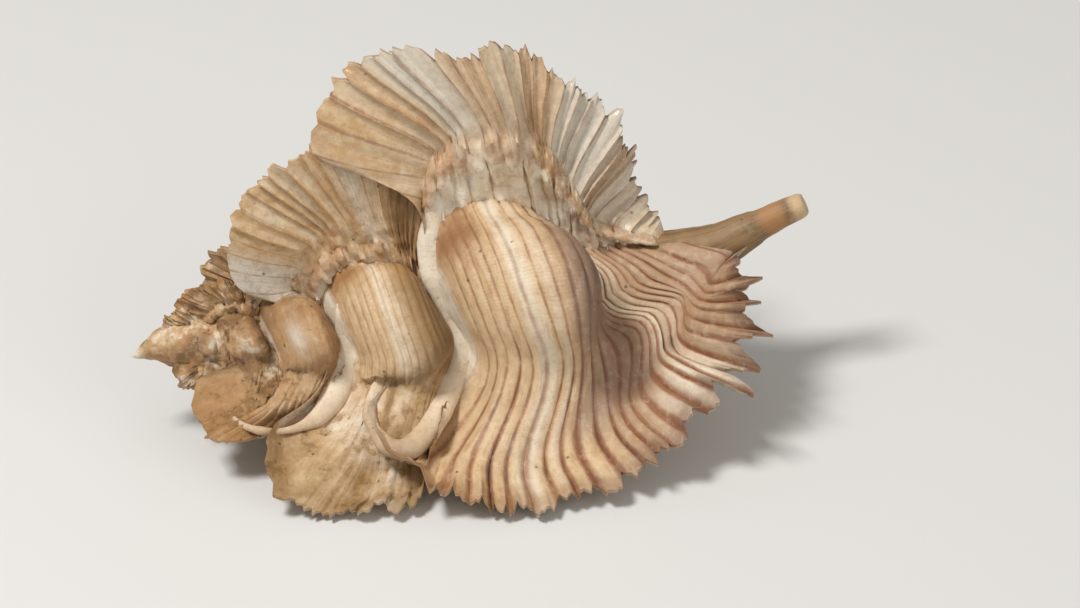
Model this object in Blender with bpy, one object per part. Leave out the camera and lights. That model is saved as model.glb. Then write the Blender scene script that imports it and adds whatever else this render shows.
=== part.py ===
"""A winged murex shell, lying at rest on the edges of its wings.

The shell grows round an axis in thirds of a whorl. Each third is a stretch of rounded whorl with one
low knob, and ends in a varix: a broad fluted wing that stands out from the whorl. The stages get larger
by a constant ratio. A closed, curved canal carries on from the front end, and the mouth opens in front
of the last wing.

Millimetres are used for the design and metres for the meshes. In the design's own frame X runs along
the axis from the tip of the spire towards the canal. Angles are measured round X from +Y towards +Z.
"""
import math

import bmesh
import bpy
import numpy as np
from mathutils import Matrix, Vector

# growth
STAGES = 15                 # thirds of a whorl; the last one ends at the outer lip
FIRST_STAGE = 4             # the stages before it are lost in the worn tip
STEP_ANGLE = 120.0          # degrees from one wing to the next
WHORL_GROWTH = 1.52         # ratio of linear size over one whorl
LIP_ANGLE = 150.0           # where the outer lip stands round the axis
CORDS = 26                  # spiral cords from the shoulder to the canal, one flute each on a wing
FIRST_CORD = 0.055          # share of the profile before the first cord: the smooth ramp
FLARE_ANGLE = 40.0          # degrees before a wing where the whorl starts to flare into it
OVERLAP_ANGLE = 127.0       # degrees of whorl that one stage covers
MIDDLE = 0.45               # share of a wing's ray at its middle line

# canal
BEND_FROM = 57.0            # mm along the axis where the canal starts to bend
BEND_TO = 85.4
BEND_BY = 8.4               # mm sideways at its tip
BEND_ANGLE = 40.0           # degrees round the axis

# The canal's middle line: mm along the axis, mm beside the bent axis, and radius.
CANAL = np.array([
    (48.0, 0.0, 2.4), (53.0, 0.0, 3.6), (57.0, 0.0, 4.3), (61.0, 0.0, 4.35), (65.0, 0.1, 4.1),
    (68.0, -0.2, 3.8), (72.6, -0.8, 3.2), (75.0, -0.9, 2.8), (77.7, -0.6, 2.4), (79.2, -0.5, 2.15),
    (79.7, -0.5, 1.9), (82.4, -0.3, 1.75), (84.8, -0.3, 1.6), (85.3, -0.3, 1.5), (85.6, -0.3, 1.25)])

# wall
PLATE_ROOT = 1.5            # mm thick where a wing leaves the whorl, on the last whorl
PLATE_EDGE = 0.7            # mm thick at its edge
CORD_HEIGHT = 0.5
FLUTE_HEIGHT = 1.2

# The pillar up the middle, worn to a cone at its tip: share of 58 mm, mm above the axis, and radius.
PILLAR = np.array([
    (0.0, 0.0, 0.12), (0.012, 0.1, 0.45), (0.035, 0.4, 1.15), (0.07, 0.7, 2.1), (0.12, 0.6, 2.9),
    (0.17, 0.3, 3.2), (0.24, 0.0, 3.0), (0.35, 0.0, 2.8), (1.0, 0.0, 3.0)])

# resting place: on the outer lip, the lower wing before it and the back wing
DOWN = (-0.0461, -0.8386, -0.5428)      # straight down, in the design's own frame
WORN = 0.0004               # metres worn flat where those wings touch the ground
SHARP_ANGLE = 40.0          # degrees between faces that are shaded as a crease

# Profile of the whorl at the middle of the last stage, from the suture to the canal: share of the profile,
# mm along the axis, radius between the knobs, radius over a knob.
WHORL = np.array([
    (0.00, 39.0, 4.5, 4.5), (0.05, 41.0, 8.3, 9.0), (0.10, 43.0, 11.2, 12.8), (0.17, 45.6, 13.0, 16.0),
    (0.25, 48.8, 13.8, 18.2), (0.33, 52.1, 13.4, 19.3), (0.40, 54.9, 12.0, 19.2), (0.45, 56.6, 10.4, 16.6),
    (0.49, 57.7, 9.3, 12.6), (0.53, 58.4, 8.4, 9.8), (0.58, 58.9, 7.6, 8.1), (0.66, 59.8, 6.6, 6.7),
    (0.75, 61.5, 5.8, 5.8), (0.85, 64.2, 5.1, 5.1), (0.93, 67.5, 4.3, 4.3), (1.00, 72.0, 3.4, 3.4)])
# the way back along the axis, mm along and radius
CORE = np.array([(73.3, 1.8), (73.5, 0.4), (57.0, 0.4), (40.5, 0.4), (38.6, 3.2)])

# Wings: share of the profile, then mm along the axis and radius of the middle line, then of the edge.
OUTER_LIP = np.array([
    (0.00, 38.8, 4.7, 38.2, 5.3), (0.02, 36.5, 8.0, 32.5, 10.0), (0.04, 34.8, 11.5, 28.8, 13.4),
    (0.06, 34.8, 14.8, 29.2, 19.4), (0.08, 36.0, 17.2, 31.8, 23.2), (0.11, 38.2, 19.3, 35.0, 27.6),
    (0.17, 41.6, 21.3, 39.8, 30.6), (0.25, 46.0, 22.4, 45.5, 32.0), (0.33, 50.3, 22.2, 51.2, 31.4),
    (0.40, 54.3, 21.4, 56.6, 30.2), (0.46, 57.8, 20.0, 61.2, 28.8), (0.52, 60.8, 18.4, 65.3, 27.2),
    (0.58, 63.4, 16.8, 68.9, 25.0), (0.66, 66.0, 14.6, 73.0, 22.8), (0.75, 68.2, 12.2, 75.8, 19.6),
    (0.82, 69.8, 10.2, 77.2, 15.8), (0.90, 71.4, 7.8, 78.0, 11.2), (0.96, 72.8, 5.8, 77.8, 7.4),
    (1.00, 74.5, 4.2, 76.4, 4.6)])
UPPER_WING = np.array([
    (0.00, 38.9, 4.7, 38.8, 5.4), (0.02, 38.8, 8.0, 38.6, 11.5), (0.04, 38.7, 13.0, 38.0, 17.0),
    (0.055, 39.0, 16.0, 33.5, 20.2), (0.07, 39.4, 17.8, 28.0, 22.8), (0.085, 40.0, 19.2, 26.0, 26.0),
    (0.11, 41.0, 21.2, 27.9, 31.0), (0.17, 42.8, 23.2, 31.8, 34.0), (0.25, 45.0, 24.5, 37.0, 36.0),
    (0.33, 47.6, 24.9, 42.5, 35.2), (0.40, 50.2, 24.6, 47.5, 34.4), (0.47, 52.6, 23.6, 52.0, 34.6),
    (0.55, 54.6, 21.6, 56.5, 30.6), (0.63, 56.2, 18.6, 60.6, 27.0), (0.72, 57.6, 15.0, 64.0, 22.4),
    (0.81, 58.8, 11.6, 66.0, 16.6), (0.90, 60.2, 8.4, 66.6, 10.8), (1.00, 66.5, 4.4, 68.5, 4.6)])
SECOND_LOWER = np.array([
    (0.00, 25.6, 3.1, 25.2, 3.7), (0.02, 24.2, 6.0, 23.4, 8.8), (0.04, 23.2, 8.8, 20.4, 11.8),
    (0.06, 22.8, 11.4, 16.6, 13.8), (0.08, 23.1, 13.5, 14.6, 17.6), (0.11, 24.3, 15.5, 16.2, 23.6),
    (0.17, 26.3, 17.3, 19.0, 26.7), (0.25, 29.0, 18.2, 23.6, 27.8), (0.33, 31.8, 18.0, 28.2, 27.9),
    (0.40, 34.3, 16.6, 32.8, 27.4), (0.46, 36.3, 13.6, 36.0, 20.5), (0.52, 38.0, 11.2, 38.6, 14.6),
    (0.58, 39.5, 9.6, 40.6, 11.6), (0.66, 41.3, 8.2, 42.6, 9.4), (0.75, 43.2, 6.8, 44.6, 7.8),
    (0.85, 45.5, 5.2, 46.8, 6.0), (0.93, 47.5, 4.0, 48.6, 4.6), (1.00, 50.0, 2.7, 50.1, 2.9)])
SECOND_UPPER = np.array([
    (0.00, 22.3, 2.7, 21.9, 3.3), (0.02, 21.5, 4.6, 18.5, 5.6), (0.04, 21.4, 6.5, 14.8, 8.2),
    (0.06, 21.9, 8.4, 13.7, 12.0), (0.08, 22.6, 10.2, 13.9, 15.2), (0.11, 23.9, 11.8, 14.9, 18.4),
    (0.17, 25.6, 13.0, 17.3, 20.8), (0.25, 27.6, 14.4, 21.0, 23.2), (0.33, 29.6, 15.0, 25.2, 25.6),
    (0.40, 31.6, 15.0, 29.0, 26.4), (0.46, 33.2, 14.4, 32.2, 25.8), (0.52, 34.6, 13.2, 35.0, 24.2),
    (0.58, 35.8, 11.6, 37.2, 21.5), (0.66, 37.0, 9.4, 39.4, 17.6), (0.75, 38.4, 7.2, 41.2, 13.2),
    (0.85, 40.2, 5.0, 42.4, 8.8), (0.93, 42.0, 3.6, 43.2, 5.6), (1.00, 43.6, 2.4, 43.7, 2.6)])
THIRD_LOWER = np.array([
    (0.00, 16.8, 2.1, 16.4, 2.6), (0.02, 15.8, 3.4, 12.5, 4.2), (0.04, 14.8, 5.0, 8.4, 5.4),
    (0.06, 14.4, 6.6, 7.2, 8.0), (0.08, 14.8, 8.0, 7.0, 10.4), (0.11, 15.5, 9.2, 7.2, 12.4),
    (0.17, 16.6, 10.2, 8.6, 14.4), (0.25, 18.4, 10.6, 13.0, 15.0), (0.33, 20.2, 10.4, 17.4, 13.6),
    (0.40, 21.9, 9.6, 20.4, 11.8), (0.46, 23.3, 8.6, 22.6, 10.2), (0.52, 24.5, 7.6, 24.2, 8.8),
    (0.58, 25.5, 6.6, 25.6, 7.6), (0.66, 26.8, 5.4, 27.0, 6.2), (0.75, 28.2, 4.4, 28.4, 5.0),
    (0.85, 29.8, 3.8, 30.2, 4.8), (0.93, 31.4, 2.8, 31.6, 3.2), (1.00, 32.8, 1.8, 32.9, 2.0)])
BACK_WING = np.array([
    (0.00, 31.5, 3.8, 31.0, 4.4), (0.02, 30.5, 6.1, 26.8, 7.3), (0.04, 29.8, 8.5, 20.5, 9.7),
    (0.06, 30.0, 11.0, 17.8, 13.5), (0.08, 30.8, 12.7, 17.8, 16.5), (0.11, 31.8, 14.0, 19.4, 20.0),
    (0.17, 33.9, 15.8, 23.4, 22.8), (0.25, 36.5, 17.0, 28.8, 23.6), (0.33, 39.2, 17.8, 34.8, 24.0),
    (0.40, 41.8, 18.0, 40.8, 25.0), (0.46, 44.2, 17.8, 46.4, 27.0), (0.52, 46.4, 16.8, 51.4, 27.8),
    (0.58, 48.2, 15.2, 55.2, 25.0), (0.66, 49.8, 12.8, 56.4, 19.0), (0.75, 51.4, 9.9, 57.6, 14.2),
    (0.85, 53.4, 7.0, 58.0, 9.4), (0.93, 55.5, 5.0, 58.2, 6.4), (1.00, 58.0, 3.4, 58.3, 3.7)])
# any other wing, at the size of the last stage
PLAIN_WING = np.array([
    (0.00, 38.8, 4.7, 38.2, 5.4), (0.02, 37.6, 7.5, 33.0, 9.0), (0.04, 36.8, 10.5, 24.5, 12.0),
    (0.06, 37.0, 13.5, 19.5, 17.5), (0.08, 38.0, 15.6, 18.8, 22.5), (0.11, 39.2, 17.4, 20.0, 27.5),
    (0.17, 41.8, 20.0, 24.0, 32.0), (0.25, 45.0, 22.0, 30.5, 35.0), (0.33, 48.3, 23.0, 38.0, 36.5),
    (0.40, 51.5, 23.0, 45.0, 37.0), (0.46, 54.2, 22.0, 50.0, 36.5), (0.52, 56.5, 20.2, 55.0, 34.0),
    (0.58, 58.4, 18.0, 59.0, 30.5), (0.66, 60.4, 14.7, 63.0, 25.5), (0.75, 62.7, 11.4, 66.5, 19.5),
    (0.85, 65.6, 8.2, 69.0, 13.0), (0.93, 68.5, 5.9, 70.5, 8.5), (1.00, 71.5, 3.9, 71.6, 4.2)])
OWN_TABLE = {0: OUTER_LIP, 1: UPPER_WING, 2: BACK_WING, 3: SECOND_LOWER, 4: SECOND_UPPER, 6: THIRD_LOWER}

# how far each wing leans or laps over the one before it, mm, by stages back from the lip
LEAN = {0: -2.0, 1: -3.0, 2: 1.5, 3: -1.0, 4: -1.0, 7: -1.6}
LAP = {0: -2.6, 1: 3.2, 3: -0.6, 4: 2.4, 6: -0.8, 7: 0.2}
BEHIND = {0: 3.6, 3: 1.6}
SHRINK = {5: 0.95, 7: 0.72, 8: 0.85}
FOLDED = {2: 0.3}           # and a flatter wing
KNOB = {2: 0.45, 5: 0.7}    # lower knobs on the side the shell lies on
KNOB_SHAPE = {3: (-61.0, 42.0, 7.0), 6: (-60.0, 40.0, 5.0)}    # degrees to its middle, half width, squareness
KNOB_AHEAD = {0: 2.2}       # mm that a knob leans along the axis on its canal side, and 0.8 for the others
TUCK = {3: 3.0, 6: 2.2}     # how far these flares dip under the ramp of the whorl after them
MORE_FLUTES = {1: 1.2, 4: 2.5}  # flutes between the ramp's edge and the first cord
FLAT_FLUTES = (1, 4)        # wings whose flutes are broad and flat, with thin ridges between
FAINT_CORDS = {3: 0.4}      # share of the cords' height left on a smoother flare
NECK = {3: 2.8, 6: 1.2}     # mm that a flare steps in below the knob before it
LOW_COLLAR = (0, 7)         # wings with only a low collar
PINCH = {0: 2.0}            # mm that the whorl draws in after a knob, on its canal side
LATE = {0: 1.0}             # flares that leave the whorl late beside the pinch
BOW = {0: 2.5}              # mm that their cords bow towards the canal there
BULGE = {0: 1.3}            # mm that they swell there

# The thick rims of the ramp where it wraps the whorl before: share of its length, design X, Y and Z in mm,
# and radius.
LAST_RIM = np.array([
    (0.00, 41.4, 15.6, 8.4, 1.2), (0.07, 39.8, 11.8, 6.7, 1.5), (0.15, 38.9, 7.4, 6.0, 1.5),
    (0.23, 39.0, 3.6, 6.0, 1.4), (0.31, 40.3, -0.6, 5.0, 1.3), (0.39, 40.9, -4.6, 4.7, 1.2),
    (0.46, 40.0, -7.8, 5.2, 1.4), (0.53, 38.6, -10.4, 6.4, 1.5), (0.60, 36.8, -13.0, 8.0, 1.6),
    (0.68, 34.7, -15.2, 9.8, 1.5), (0.76, 32.7, -16.2, 11.2, 1.3), (0.84, 30.8, -15.8, 11.6, 1.15),
    (0.90, 29.4, -14.2, 10.6, 1.0), (0.96, 28.6, -11.9, 8.9, 0.85), (1.00, 28.9, -10.1, 8.0, 0.5)])
SECOND_RIM = np.array([
    (0.00, 28.5, 7.4, 3.6, 0.5), (0.10, 28.0, 4.6, 5.7, 0.8), (0.20, 27.4, 1.6, 5.6, 1.1),
    (0.30, 26.9, -1.6, 3.7, 1.3), (0.42, 26.2, -5.2, 3.0, 1.8), (0.52, 24.6, -8.4, 4.3, 1.8),
    (0.62, 22.3, -10.8, 6.2, 1.2), (0.72, 19.4, -11.8, 7.4, 0.65), (0.82, 16.0, -11.7, 8.1, 0.45),
    (0.92, 12.8, -10.4, 6.9, 0.36), (1.00, 10.4, -7.6, 4.9, 0.25)])


def stage_scale(stage):
    return WHORL_GROWTH ** ((stage - (STAGES - 0.5)) / 3)


def ease(x, start, end):
    t = np.clip((x - start) / (end - start), 0, 1)
    return t * t * (3 - 2 * t)


def hump(x, centre, width, power=2.0):
    return np.exp(-np.abs((x - centre) / width) ** power)


def curve_through(table, share):
    """A smooth curve through a table's rows, read at each share of the profile."""
    x = table[:, 0]
    y = table[:, 1:]
    slope = np.empty_like(y)
    slope[1:-1] = (y[2:] - y[:-2]) / (x[2:] - x[:-2])[:, None]
    slope[0] = (y[1] - y[0]) / (x[1] - x[0])
    slope[-1] = (y[-1] - y[-2]) / (x[-1] - x[-2])
    i = np.clip(np.searchsorted(x, share, side="right") - 1, 0, len(x) - 2)
    h = (x[i + 1] - x[i])[:, None]
    t = (share - x[i])[:, None] / h
    start = (2 * t**3 - 3 * t**2 + 1) * y[i] + (t**3 - 2 * t**2 + t) * h * slope[i]
    return start + (3 * t**2 - 2 * t**3) * y[i + 1] + (t**3 - t**2) * h * slope[i + 1]


def round_axis(along, radius, angle, across=0.0):
    """Points from mm along the axis, radius, degrees round it, and mm across the half-plane there."""
    turn = np.radians(angle)
    y = radius * np.cos(turn) - across * np.sin(turn)
    z = radius * np.sin(turn) + across * np.cos(turn)
    return np.stack(np.broadcast_arrays(along, y, z), axis=-1)


def bent(points):
    """The same points after the bend of the canal."""
    t = np.clip((points[..., 0] - BEND_FROM) / (BEND_TO - BEND_FROM), 0, None)
    by = BEND_BY * t ** 1.25
    out = points.copy()
    out[..., 1] += by * math.cos(math.radians(BEND_ANGLE))
    out[..., 2] += by * math.sin(math.radians(BEND_ANGLE))
    return out


def cord_number(share, stage):
    """Which cord each share of the profile is on, a little unevenly spaced."""
    number = CORDS * (share - FIRST_CORD) / (1 - FIRST_CORD)
    rng = np.random.default_rng(100 + stage)
    phase = rng.uniform(0, 2 * np.pi, 3)
    size = rng.uniform(0.1, 0.25, 3)
    held = ease(share, 0.05, 0.16) * ease(share, 1.0, 0.93)
    for n in range(3):
        number = number + size[n] * np.sin(2 * np.pi * (n + 1.3) * share * 2.1 + phase[n]) * held
    return number


def shares_at_cords(stage, step):
    """Shares of the profile on every groove and crest, after three on the ramp."""
    fine = np.linspace(0, 1, 2001)
    number = cord_number(fine, stage)
    wanted = np.arange(0.0, CORDS + 1e-6, step)
    return np.concatenate([[0.0, 0.02, 0.037], np.interp(wanted, number, fine)])


def wing_table(stage):
    back = STAGES - stage
    if back in OWN_TABLE:
        return OWN_TABLE[back]
    table = PLAIN_WING.copy()
    table[:, 1:] *= stage_scale(stage)
    shrink = SHRINK.get(back, 1.0 if back < 9 else 0.72)
    table[:, 3:] = table[:, 1:3] + (table[:, 3:] - table[:, 1:3]) * shrink
    return table


def whorl_profile(stage, share, delta):
    """(mm along, radius) at delta degrees after the wing of this stage."""
    scale = np.asarray(stage_scale(stage + delta / STEP_ANGLE))
    shape = curve_through(WHORL, share)
    at, width, squareness = KNOB_SHAPE.get(STAGES - stage, (-66.0, 36.0, 2.6))
    knob = hump(delta, at + 10 * (share - 0.25), width, squareness) * KNOB.get(STAGES - stage, 1.0)
    radius = shape[:, 1] + (shape[:, 2] - shape[:, 1]) * knob
    radius = radius * (1 + 0.12 * ease(delta, -102, -119))
    ahead = KNOB_AHEAD.get(STAGES - stage, 0.8) * hump(share, 0.44, 0.10) * knob
    pinch = PINCH.get(STAGES - stage, 0.0) * ease(share, 0.30, 0.46) * ease(share, 0.95, 0.62)
    ahead = ahead - pinch * ease(delta, -72, -34)
    return np.stack([(shape[:, 0] + ahead) * scale, radius * scale], axis=1)


def lifted(profile, amount):
    """A profile moved out along its own normal."""
    run = np.gradient(profile, axis=0)
    normal = np.stack([-run[:, 1], run[:, 0]], axis=1)
    normal /= np.maximum(np.linalg.norm(normal, axis=1), 1e-9)[:, None]
    return profile + normal * np.asarray(amount)[:, None]


def edge_reach(stage, cords, share):
    """How far the ragged edge stands past its table, mm: blunt flutes, and spikes by the canal."""
    size = stage_scale(stage)
    rng = np.random.default_rng(stage)
    length = rng.uniform(0.0, 1.0, 64)
    blunt = rng.uniform(0.9, 3.0, 64)
    number = np.clip(np.floor(cords).astype(int), 0, 40)
    x = cords - np.floor(cords)
    reach = size ** 0.7 * (0.3 + 2.2 * length[number] ** 1.5) * (1 - np.abs(2 * x - 1) ** blunt[number])
    if stage == STAGES:
        pair = np.floor((cords + 0.4) / 1.85).astype(int)
        px = (cords + 0.4) / 1.85 - pair
        spiky = ease(share, 0.55, 0.66) * ease(share, 1.0, 0.95)
        spike = (3.6 + 3.4 * length[pair + 20]) * (1 - np.abs(2 * px - 1) ** 0.8)
        reach = reach * (1 - 0.8 * spiky) + spike * spiky - 1.5 * spiky
    return (reach - 1.5 * size ** 0.7) * ease(share, 0.03, 0.09) * ease(share, 1.0, 0.95)


def stage_rows(stage, share, whorl_count, flare_shares, face_shares):
    """Rings of points of one stage: the whorl, its flare out to the wing's edge, and the front face."""
    size = stage_scale(stage)
    back = STAGES - stage
    wing_angle = LIP_ANGLE - STEP_ANGLE * back
    table = curve_through(wing_table(stage), share)
    middle = table[:, :2]
    edge = table[:, 2:]
    cords = cord_number(share, stage)
    outward = edge - middle
    outward /= np.linalg.norm(outward, axis=1)[:, None]
    edge = edge + outward * edge_reach(stage, cords, share)[:, None]
    crest = np.abs(np.sin(np.pi * cords)) ** 0.55
    ridge = (crest - 0.72) * ease(share, 0.06, 0.10) * ease(share, 1.0, 0.97)
    flutes = cords - MORE_FLUTES.get(back, 3.5) * (1 - ease(share, 0.03, 0.12))
    sharpness, mean = (0.32, 0.84) if back in FLAT_FLUTES else (0.55, 0.72)
    flute = np.abs(np.sin(np.pi * flutes)) ** sharpness - mean
    flute = flute * ease(share, 0.03, 0.05) * ease(share, 1.0, 0.97)
    faint = FAINT_CORDS.get(back, 1.0)
    cord_height = CORD_HEIGHT * size ** 0.8
    flute_height = FLUTE_HEIGHT * size ** 0.6 * faint * (0.75 if back in FLAT_FLUTES else 1.0)
    soft = 0.45 + 0.55 * ease(cords, 8.0, 10.5)         # the cords are low on the knobs
    turn = (0.2 + 0.8 * ease(share, 0.03, 0.2))[:, None]
    if back == 0:
        fold = 2.2 * hump(share, 0.735, 0.035) - 1.4 * hump(share, 0.64, 0.05)
        fold = fold - 0.8 * hump(share, 0.84, 0.04)
    else:
        rng = np.random.default_rng(300 + stage)
        amount = rng.uniform(0.2, 0.7, 3) * FOLDED.get(back, 1.0)
        phase = rng.uniform(0, 6.28, 3)
        waves = [np.sin(2 * np.pi * n * share + phase[i]) for i, n in enumerate((2, 3, 5))]
        fold = sum(amount[i] * size * waves[i] for i in range(3))

    def across(f):
        off = LEAN.get(back, -size) * f ** 2
        lap = LAP.get(back, 0.0) * ease(share, 0.24, 0.04)
        if back == 0:
            lap = lap * ease(share, 0.035, 0.07)
        off = off + lap * ease(f, 0.35, 0.9)
        off = off + fold * ease(f, 0.05, 0.5) * ease(share, 0.02, 0.12)
        behind = BEHIND.get(back, 0.0) * ease(share, 0.16, 0.08)
        tuck = TUCK.get(back, 0.0) * ease(share, 0.18, 0.28)
        off = off + behind * ease(f, 0.05, 0.3) * ease(f, 1.0, 0.85)
        off = off + tuck * ease(f, 0.46, 0.60) * ease(f, 1.0, 0.78)
        folded = ridge + (flute - ridge) * ease(f, 0.5, 0.75)
        return off - (0.45 + 0.55 * f) * flute_height * folded * ease(f, 0.2, 0.6)

    def ray(f, start):
        """Share f of the way out along every ray, by way of the middle line."""
        f = (f + np.zeros(len(share)))[:, None]
        t = np.clip(f / MIDDLE, 0, 1)
        pull = (edge - start) * turn * MIDDLE
        near = (2 * t**3 - 3 * t**2 + 1) * start + (3 * t**2 - 2 * t**3) * middle + (t**3 - t**2) * pull
        t = np.clip((f - MIDDLE) / (1 - MIDDLE), 0, 1)
        leave = (edge - start) * turn * (1 - MIDDLE)
        arrive = edge - middle
        far = ((2 * t**3 - 3 * t**2 + 1) * middle + (t**3 - 2 * t**2 + t) * leave
               + (3 * t**2 - 2 * t**3) * edge + (t**3 - t**2) * arrive)
        return np.where(f < MIDDLE, near, far)

    def thickness(f):
        return (PLATE_ROOT + (PLATE_EDGE - PLATE_ROOT) * f) * size ** 0.5

    def core(delta, shift=0.0):
        scale = stage_scale(stage + delta / STEP_ANGLE)
        return round_axis(CORE[:, 0] * scale, CORE[:, 1] * scale, wing_angle + delta, shift)

    rows = []
    for delta in np.linspace(-OVERLAP_ANGLE, -FLARE_ANGLE, whorl_count, endpoint=False):
        p = lifted(whorl_profile(stage, share, delta), ridge * cord_height * soft)
        rows.append(np.concatenate([round_axis(p[:, 0], p[:, 1], wing_angle + delta), core(delta)]))
    for i, f in enumerate(flare_shares):
        closing = 1 - min(1.0, f / 0.6)
        late = LATE.get(back, 0.0) * ease(share, 0.46, 0.54) * ease(share, 0.86, 0.70)
        delta = -FLARE_ANGLE * closing ** (2.2 + 5.0 * ease(share, 0.16, 0.03) + 2.6 * late)
        p = ray(f * (1 + late * (ease(f, 0.0, 0.32) - 1)), whorl_profile(stage, share, delta))
        bow = BOW.get(back, 0.0) * ease(share, 0.45, 0.55) * ease(share, 0.90, 0.78)
        p[:, 0] += bow * hump(f, 0.20, 0.12)
        height = cord_height * (1 + (faint - 1) * ease(f, 0.0, 0.3))
        lift = ridge * height * (soft + (1 - soft) * ease(f, 0.0, 0.3)) * (1 - ease(f, 0.2, 0.6))
        p = lifted(p, lift - NECK.get(back, 0.0) * hump(f, 0.28, 0.10, 4.0) * hump(share, 0.16, 0.12, 4.0))
        off = across(f) * ease(f, 0.1, 0.5) - thickness(f) / 2 * ease(f, 0.2, 0.6)
        off = off - BULGE.get(back, 0.0) * hump(f, 0.24, 0.12) * hump(share, 0.60, 0.10, 4.0)
        inner = core(-FLARE_ANGLE * closing ** 2.2, 0.02 * i)
        rows.append(np.concatenate([round_axis(p[:, 0], p[:, 1], wing_angle + delta, off), inner]))
    throat = whorl_profile(stage, share, 0.0) * np.array([1.0, 0.7])
    for i, f in enumerate(face_shares):
        if f >= MIDDLE:
            p = ray(f, whorl_profile(stage, share, 0.0))
        else:
            p = throat + (middle - throat) * f / MIDDLE
        off = across(f) + thickness(f) / 2
        collar = 1.1 * hump(f, MIDDLE + 0.02, 0.07) - 0.5 * hump(f, MIDDLE - 0.13, 0.09)
        off = off + collar * size ** 0.7 * ease(share, 0.02, 0.12) * (0.3 if back in LOW_COLLAR else 1.0)
        inner = core(0.0, 0.02 * (len(flare_shares) + i + 1) + 0.05)
        rows.append(np.concatenate([round_axis(p[:, 0], p[:, 1], wing_angle, off), inner]))
    return bent(np.array(rows))


def new_object(name, points, faces):
    mesh = bpy.data.meshes.new(name)
    mesh.from_pydata((np.asarray(points).reshape(-1, 3) * 0.001).tolist(), [], faces)
    mesh.update()
    made = bpy.data.objects.new(name, mesh)
    bpy.context.scene.collection.objects.link(made)
    return made


def between_rings(numbers):
    """Quads between rings of point numbers, each ring closed on itself."""
    after = np.roll(numbers, -1, axis=1)
    return np.stack([numbers[:-1], numbers[1:], after[1:], after[:-1]], axis=-1).reshape(-1, 4).tolist()


def zipped(a, b):
    """Triangles between two runs of points that share their end points."""
    faces = []
    i = 0
    j = 0
    while i < len(a) - 1 or j < len(b) - 1:
        if j == len(b) - 1 or (i < len(a) - 1 and (i + 1) * (len(b) - 1) <= (j + 1) * (len(a) - 1)):
            faces.append((a[i], a[i + 1], b[j]))
            i += 1
        else:
            faces.append((a[i], b[j + 1], b[j]))
            j += 1
    return [f for f in faces if len(set(f)) == 3]


def stage_object(stage, share, whorl_count, flare_shares, face_shares):
    """One stage as a closed solid: rings joined by quads, and its two ends closed across."""
    rows = stage_rows(stage, share, whorl_count, flare_shares, face_shares)
    numbers = np.arange(rows.shape[0] * rows.shape[1]).reshape(rows.shape[:2])
    faces = between_rings(numbers)
    for ring, turned in ((numbers[0].tolist(), False), (numbers[-1].tolist(), True)):
        outer = ring[:len(share)]
        inner = [outer[0]] + ring[len(share):][::-1] + [outer[-1]]
        cap = zipped(outer, inner)
        faces += [f[::-1] for f in cap] if turned else cap
    return new_object(f"stage_{stage}", rows, faces)


def rod(name, middle, radius, sides, beside=(0.0, 1.0, 0.0), flat=1.0):
    """A closed rod along a line of points."""
    middle = np.asarray(middle, float)
    run = np.gradient(middle, axis=0)
    run /= np.linalg.norm(run, axis=1)[:, None]
    u = np.cross(run, np.array(beside))
    u /= np.linalg.norm(u, axis=1)[:, None]
    w = np.cross(run, u)
    turn = np.linspace(0, 2 * np.pi, sides, endpoint=False)[None, :, None]
    rings = middle[:, None, :] + np.asarray(radius)[:, None, None] * (
        np.cos(turn) * u[:, None, :] + flat * np.sin(turn) * w[:, None, :])
    numbers = np.arange(len(middle) * sides).reshape(len(middle), sides)
    faces = [f[::-1] for f in between_rings(numbers)]
    faces.append(numbers[0][::-1].tolist())
    faces.append(numbers[-1].tolist())
    return new_object(name, rings, faces)


def ramp_rim(name, table, count, sides):
    """The rim of a ramp, along the line in its table."""
    line = curve_through(table, np.linspace(0, 1, count))
    return rod(name, line[:, :3], line[:, 3], sides, (0.0, 0.0, 1.0), 0.6)


def mouth_loop(delta, count):
    """The mouth's egg-shaped outline, narrow towards the canal, wider inside where the knob is."""
    turn = np.linspace(0, 2 * np.pi, count, endpoint=False)[::-1]
    narrow = ease(-delta, 3, 16)
    along = 50.6 + 8.0 * np.cos(turn) - 2.3 * narrow * np.maximum(0, np.cos(turn))
    radius = 8.2 - 0.28 * np.maximum(0, along - 50.6) + (4.1 - 0.5 * narrow) * np.sin(turn)
    radius = radius + np.maximum(0, np.sin(turn)) * 3.4 * hump(delta, -66, 34, 2.6)
    return np.stack([along, radius], axis=1)


def mouth_hollow(count, sections):
    """The space behind the mouth, followed back round the axis."""
    rows = []
    for delta in np.concatenate([[14.0, 7.0], np.linspace(0, -150, sections)]):
        scale = stage_scale(STAGES + min(delta, 0.0) / STEP_ANGLE)
        p = mouth_loop(min(delta, 0.0), count)
        centre = p.mean(axis=0)
        p = centre + (p - centre) * (1 - 0.7 * ease(-delta, 95, 150) + 0.012 * max(delta, 0.0))
        rows.append(round_axis(p[:, 0] * scale, p[:, 1] * scale, LIP_ANGLE + delta))
    numbers = np.arange(len(rows) * count).reshape(len(rows), count)
    faces = [f[::-1] for f in between_rings(numbers)]
    faces.append(numbers[0][::-1].tolist())
    faces.append(numbers[-1].tolist())
    return new_object("hollow", bent(np.array(rows)), faces)


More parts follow.
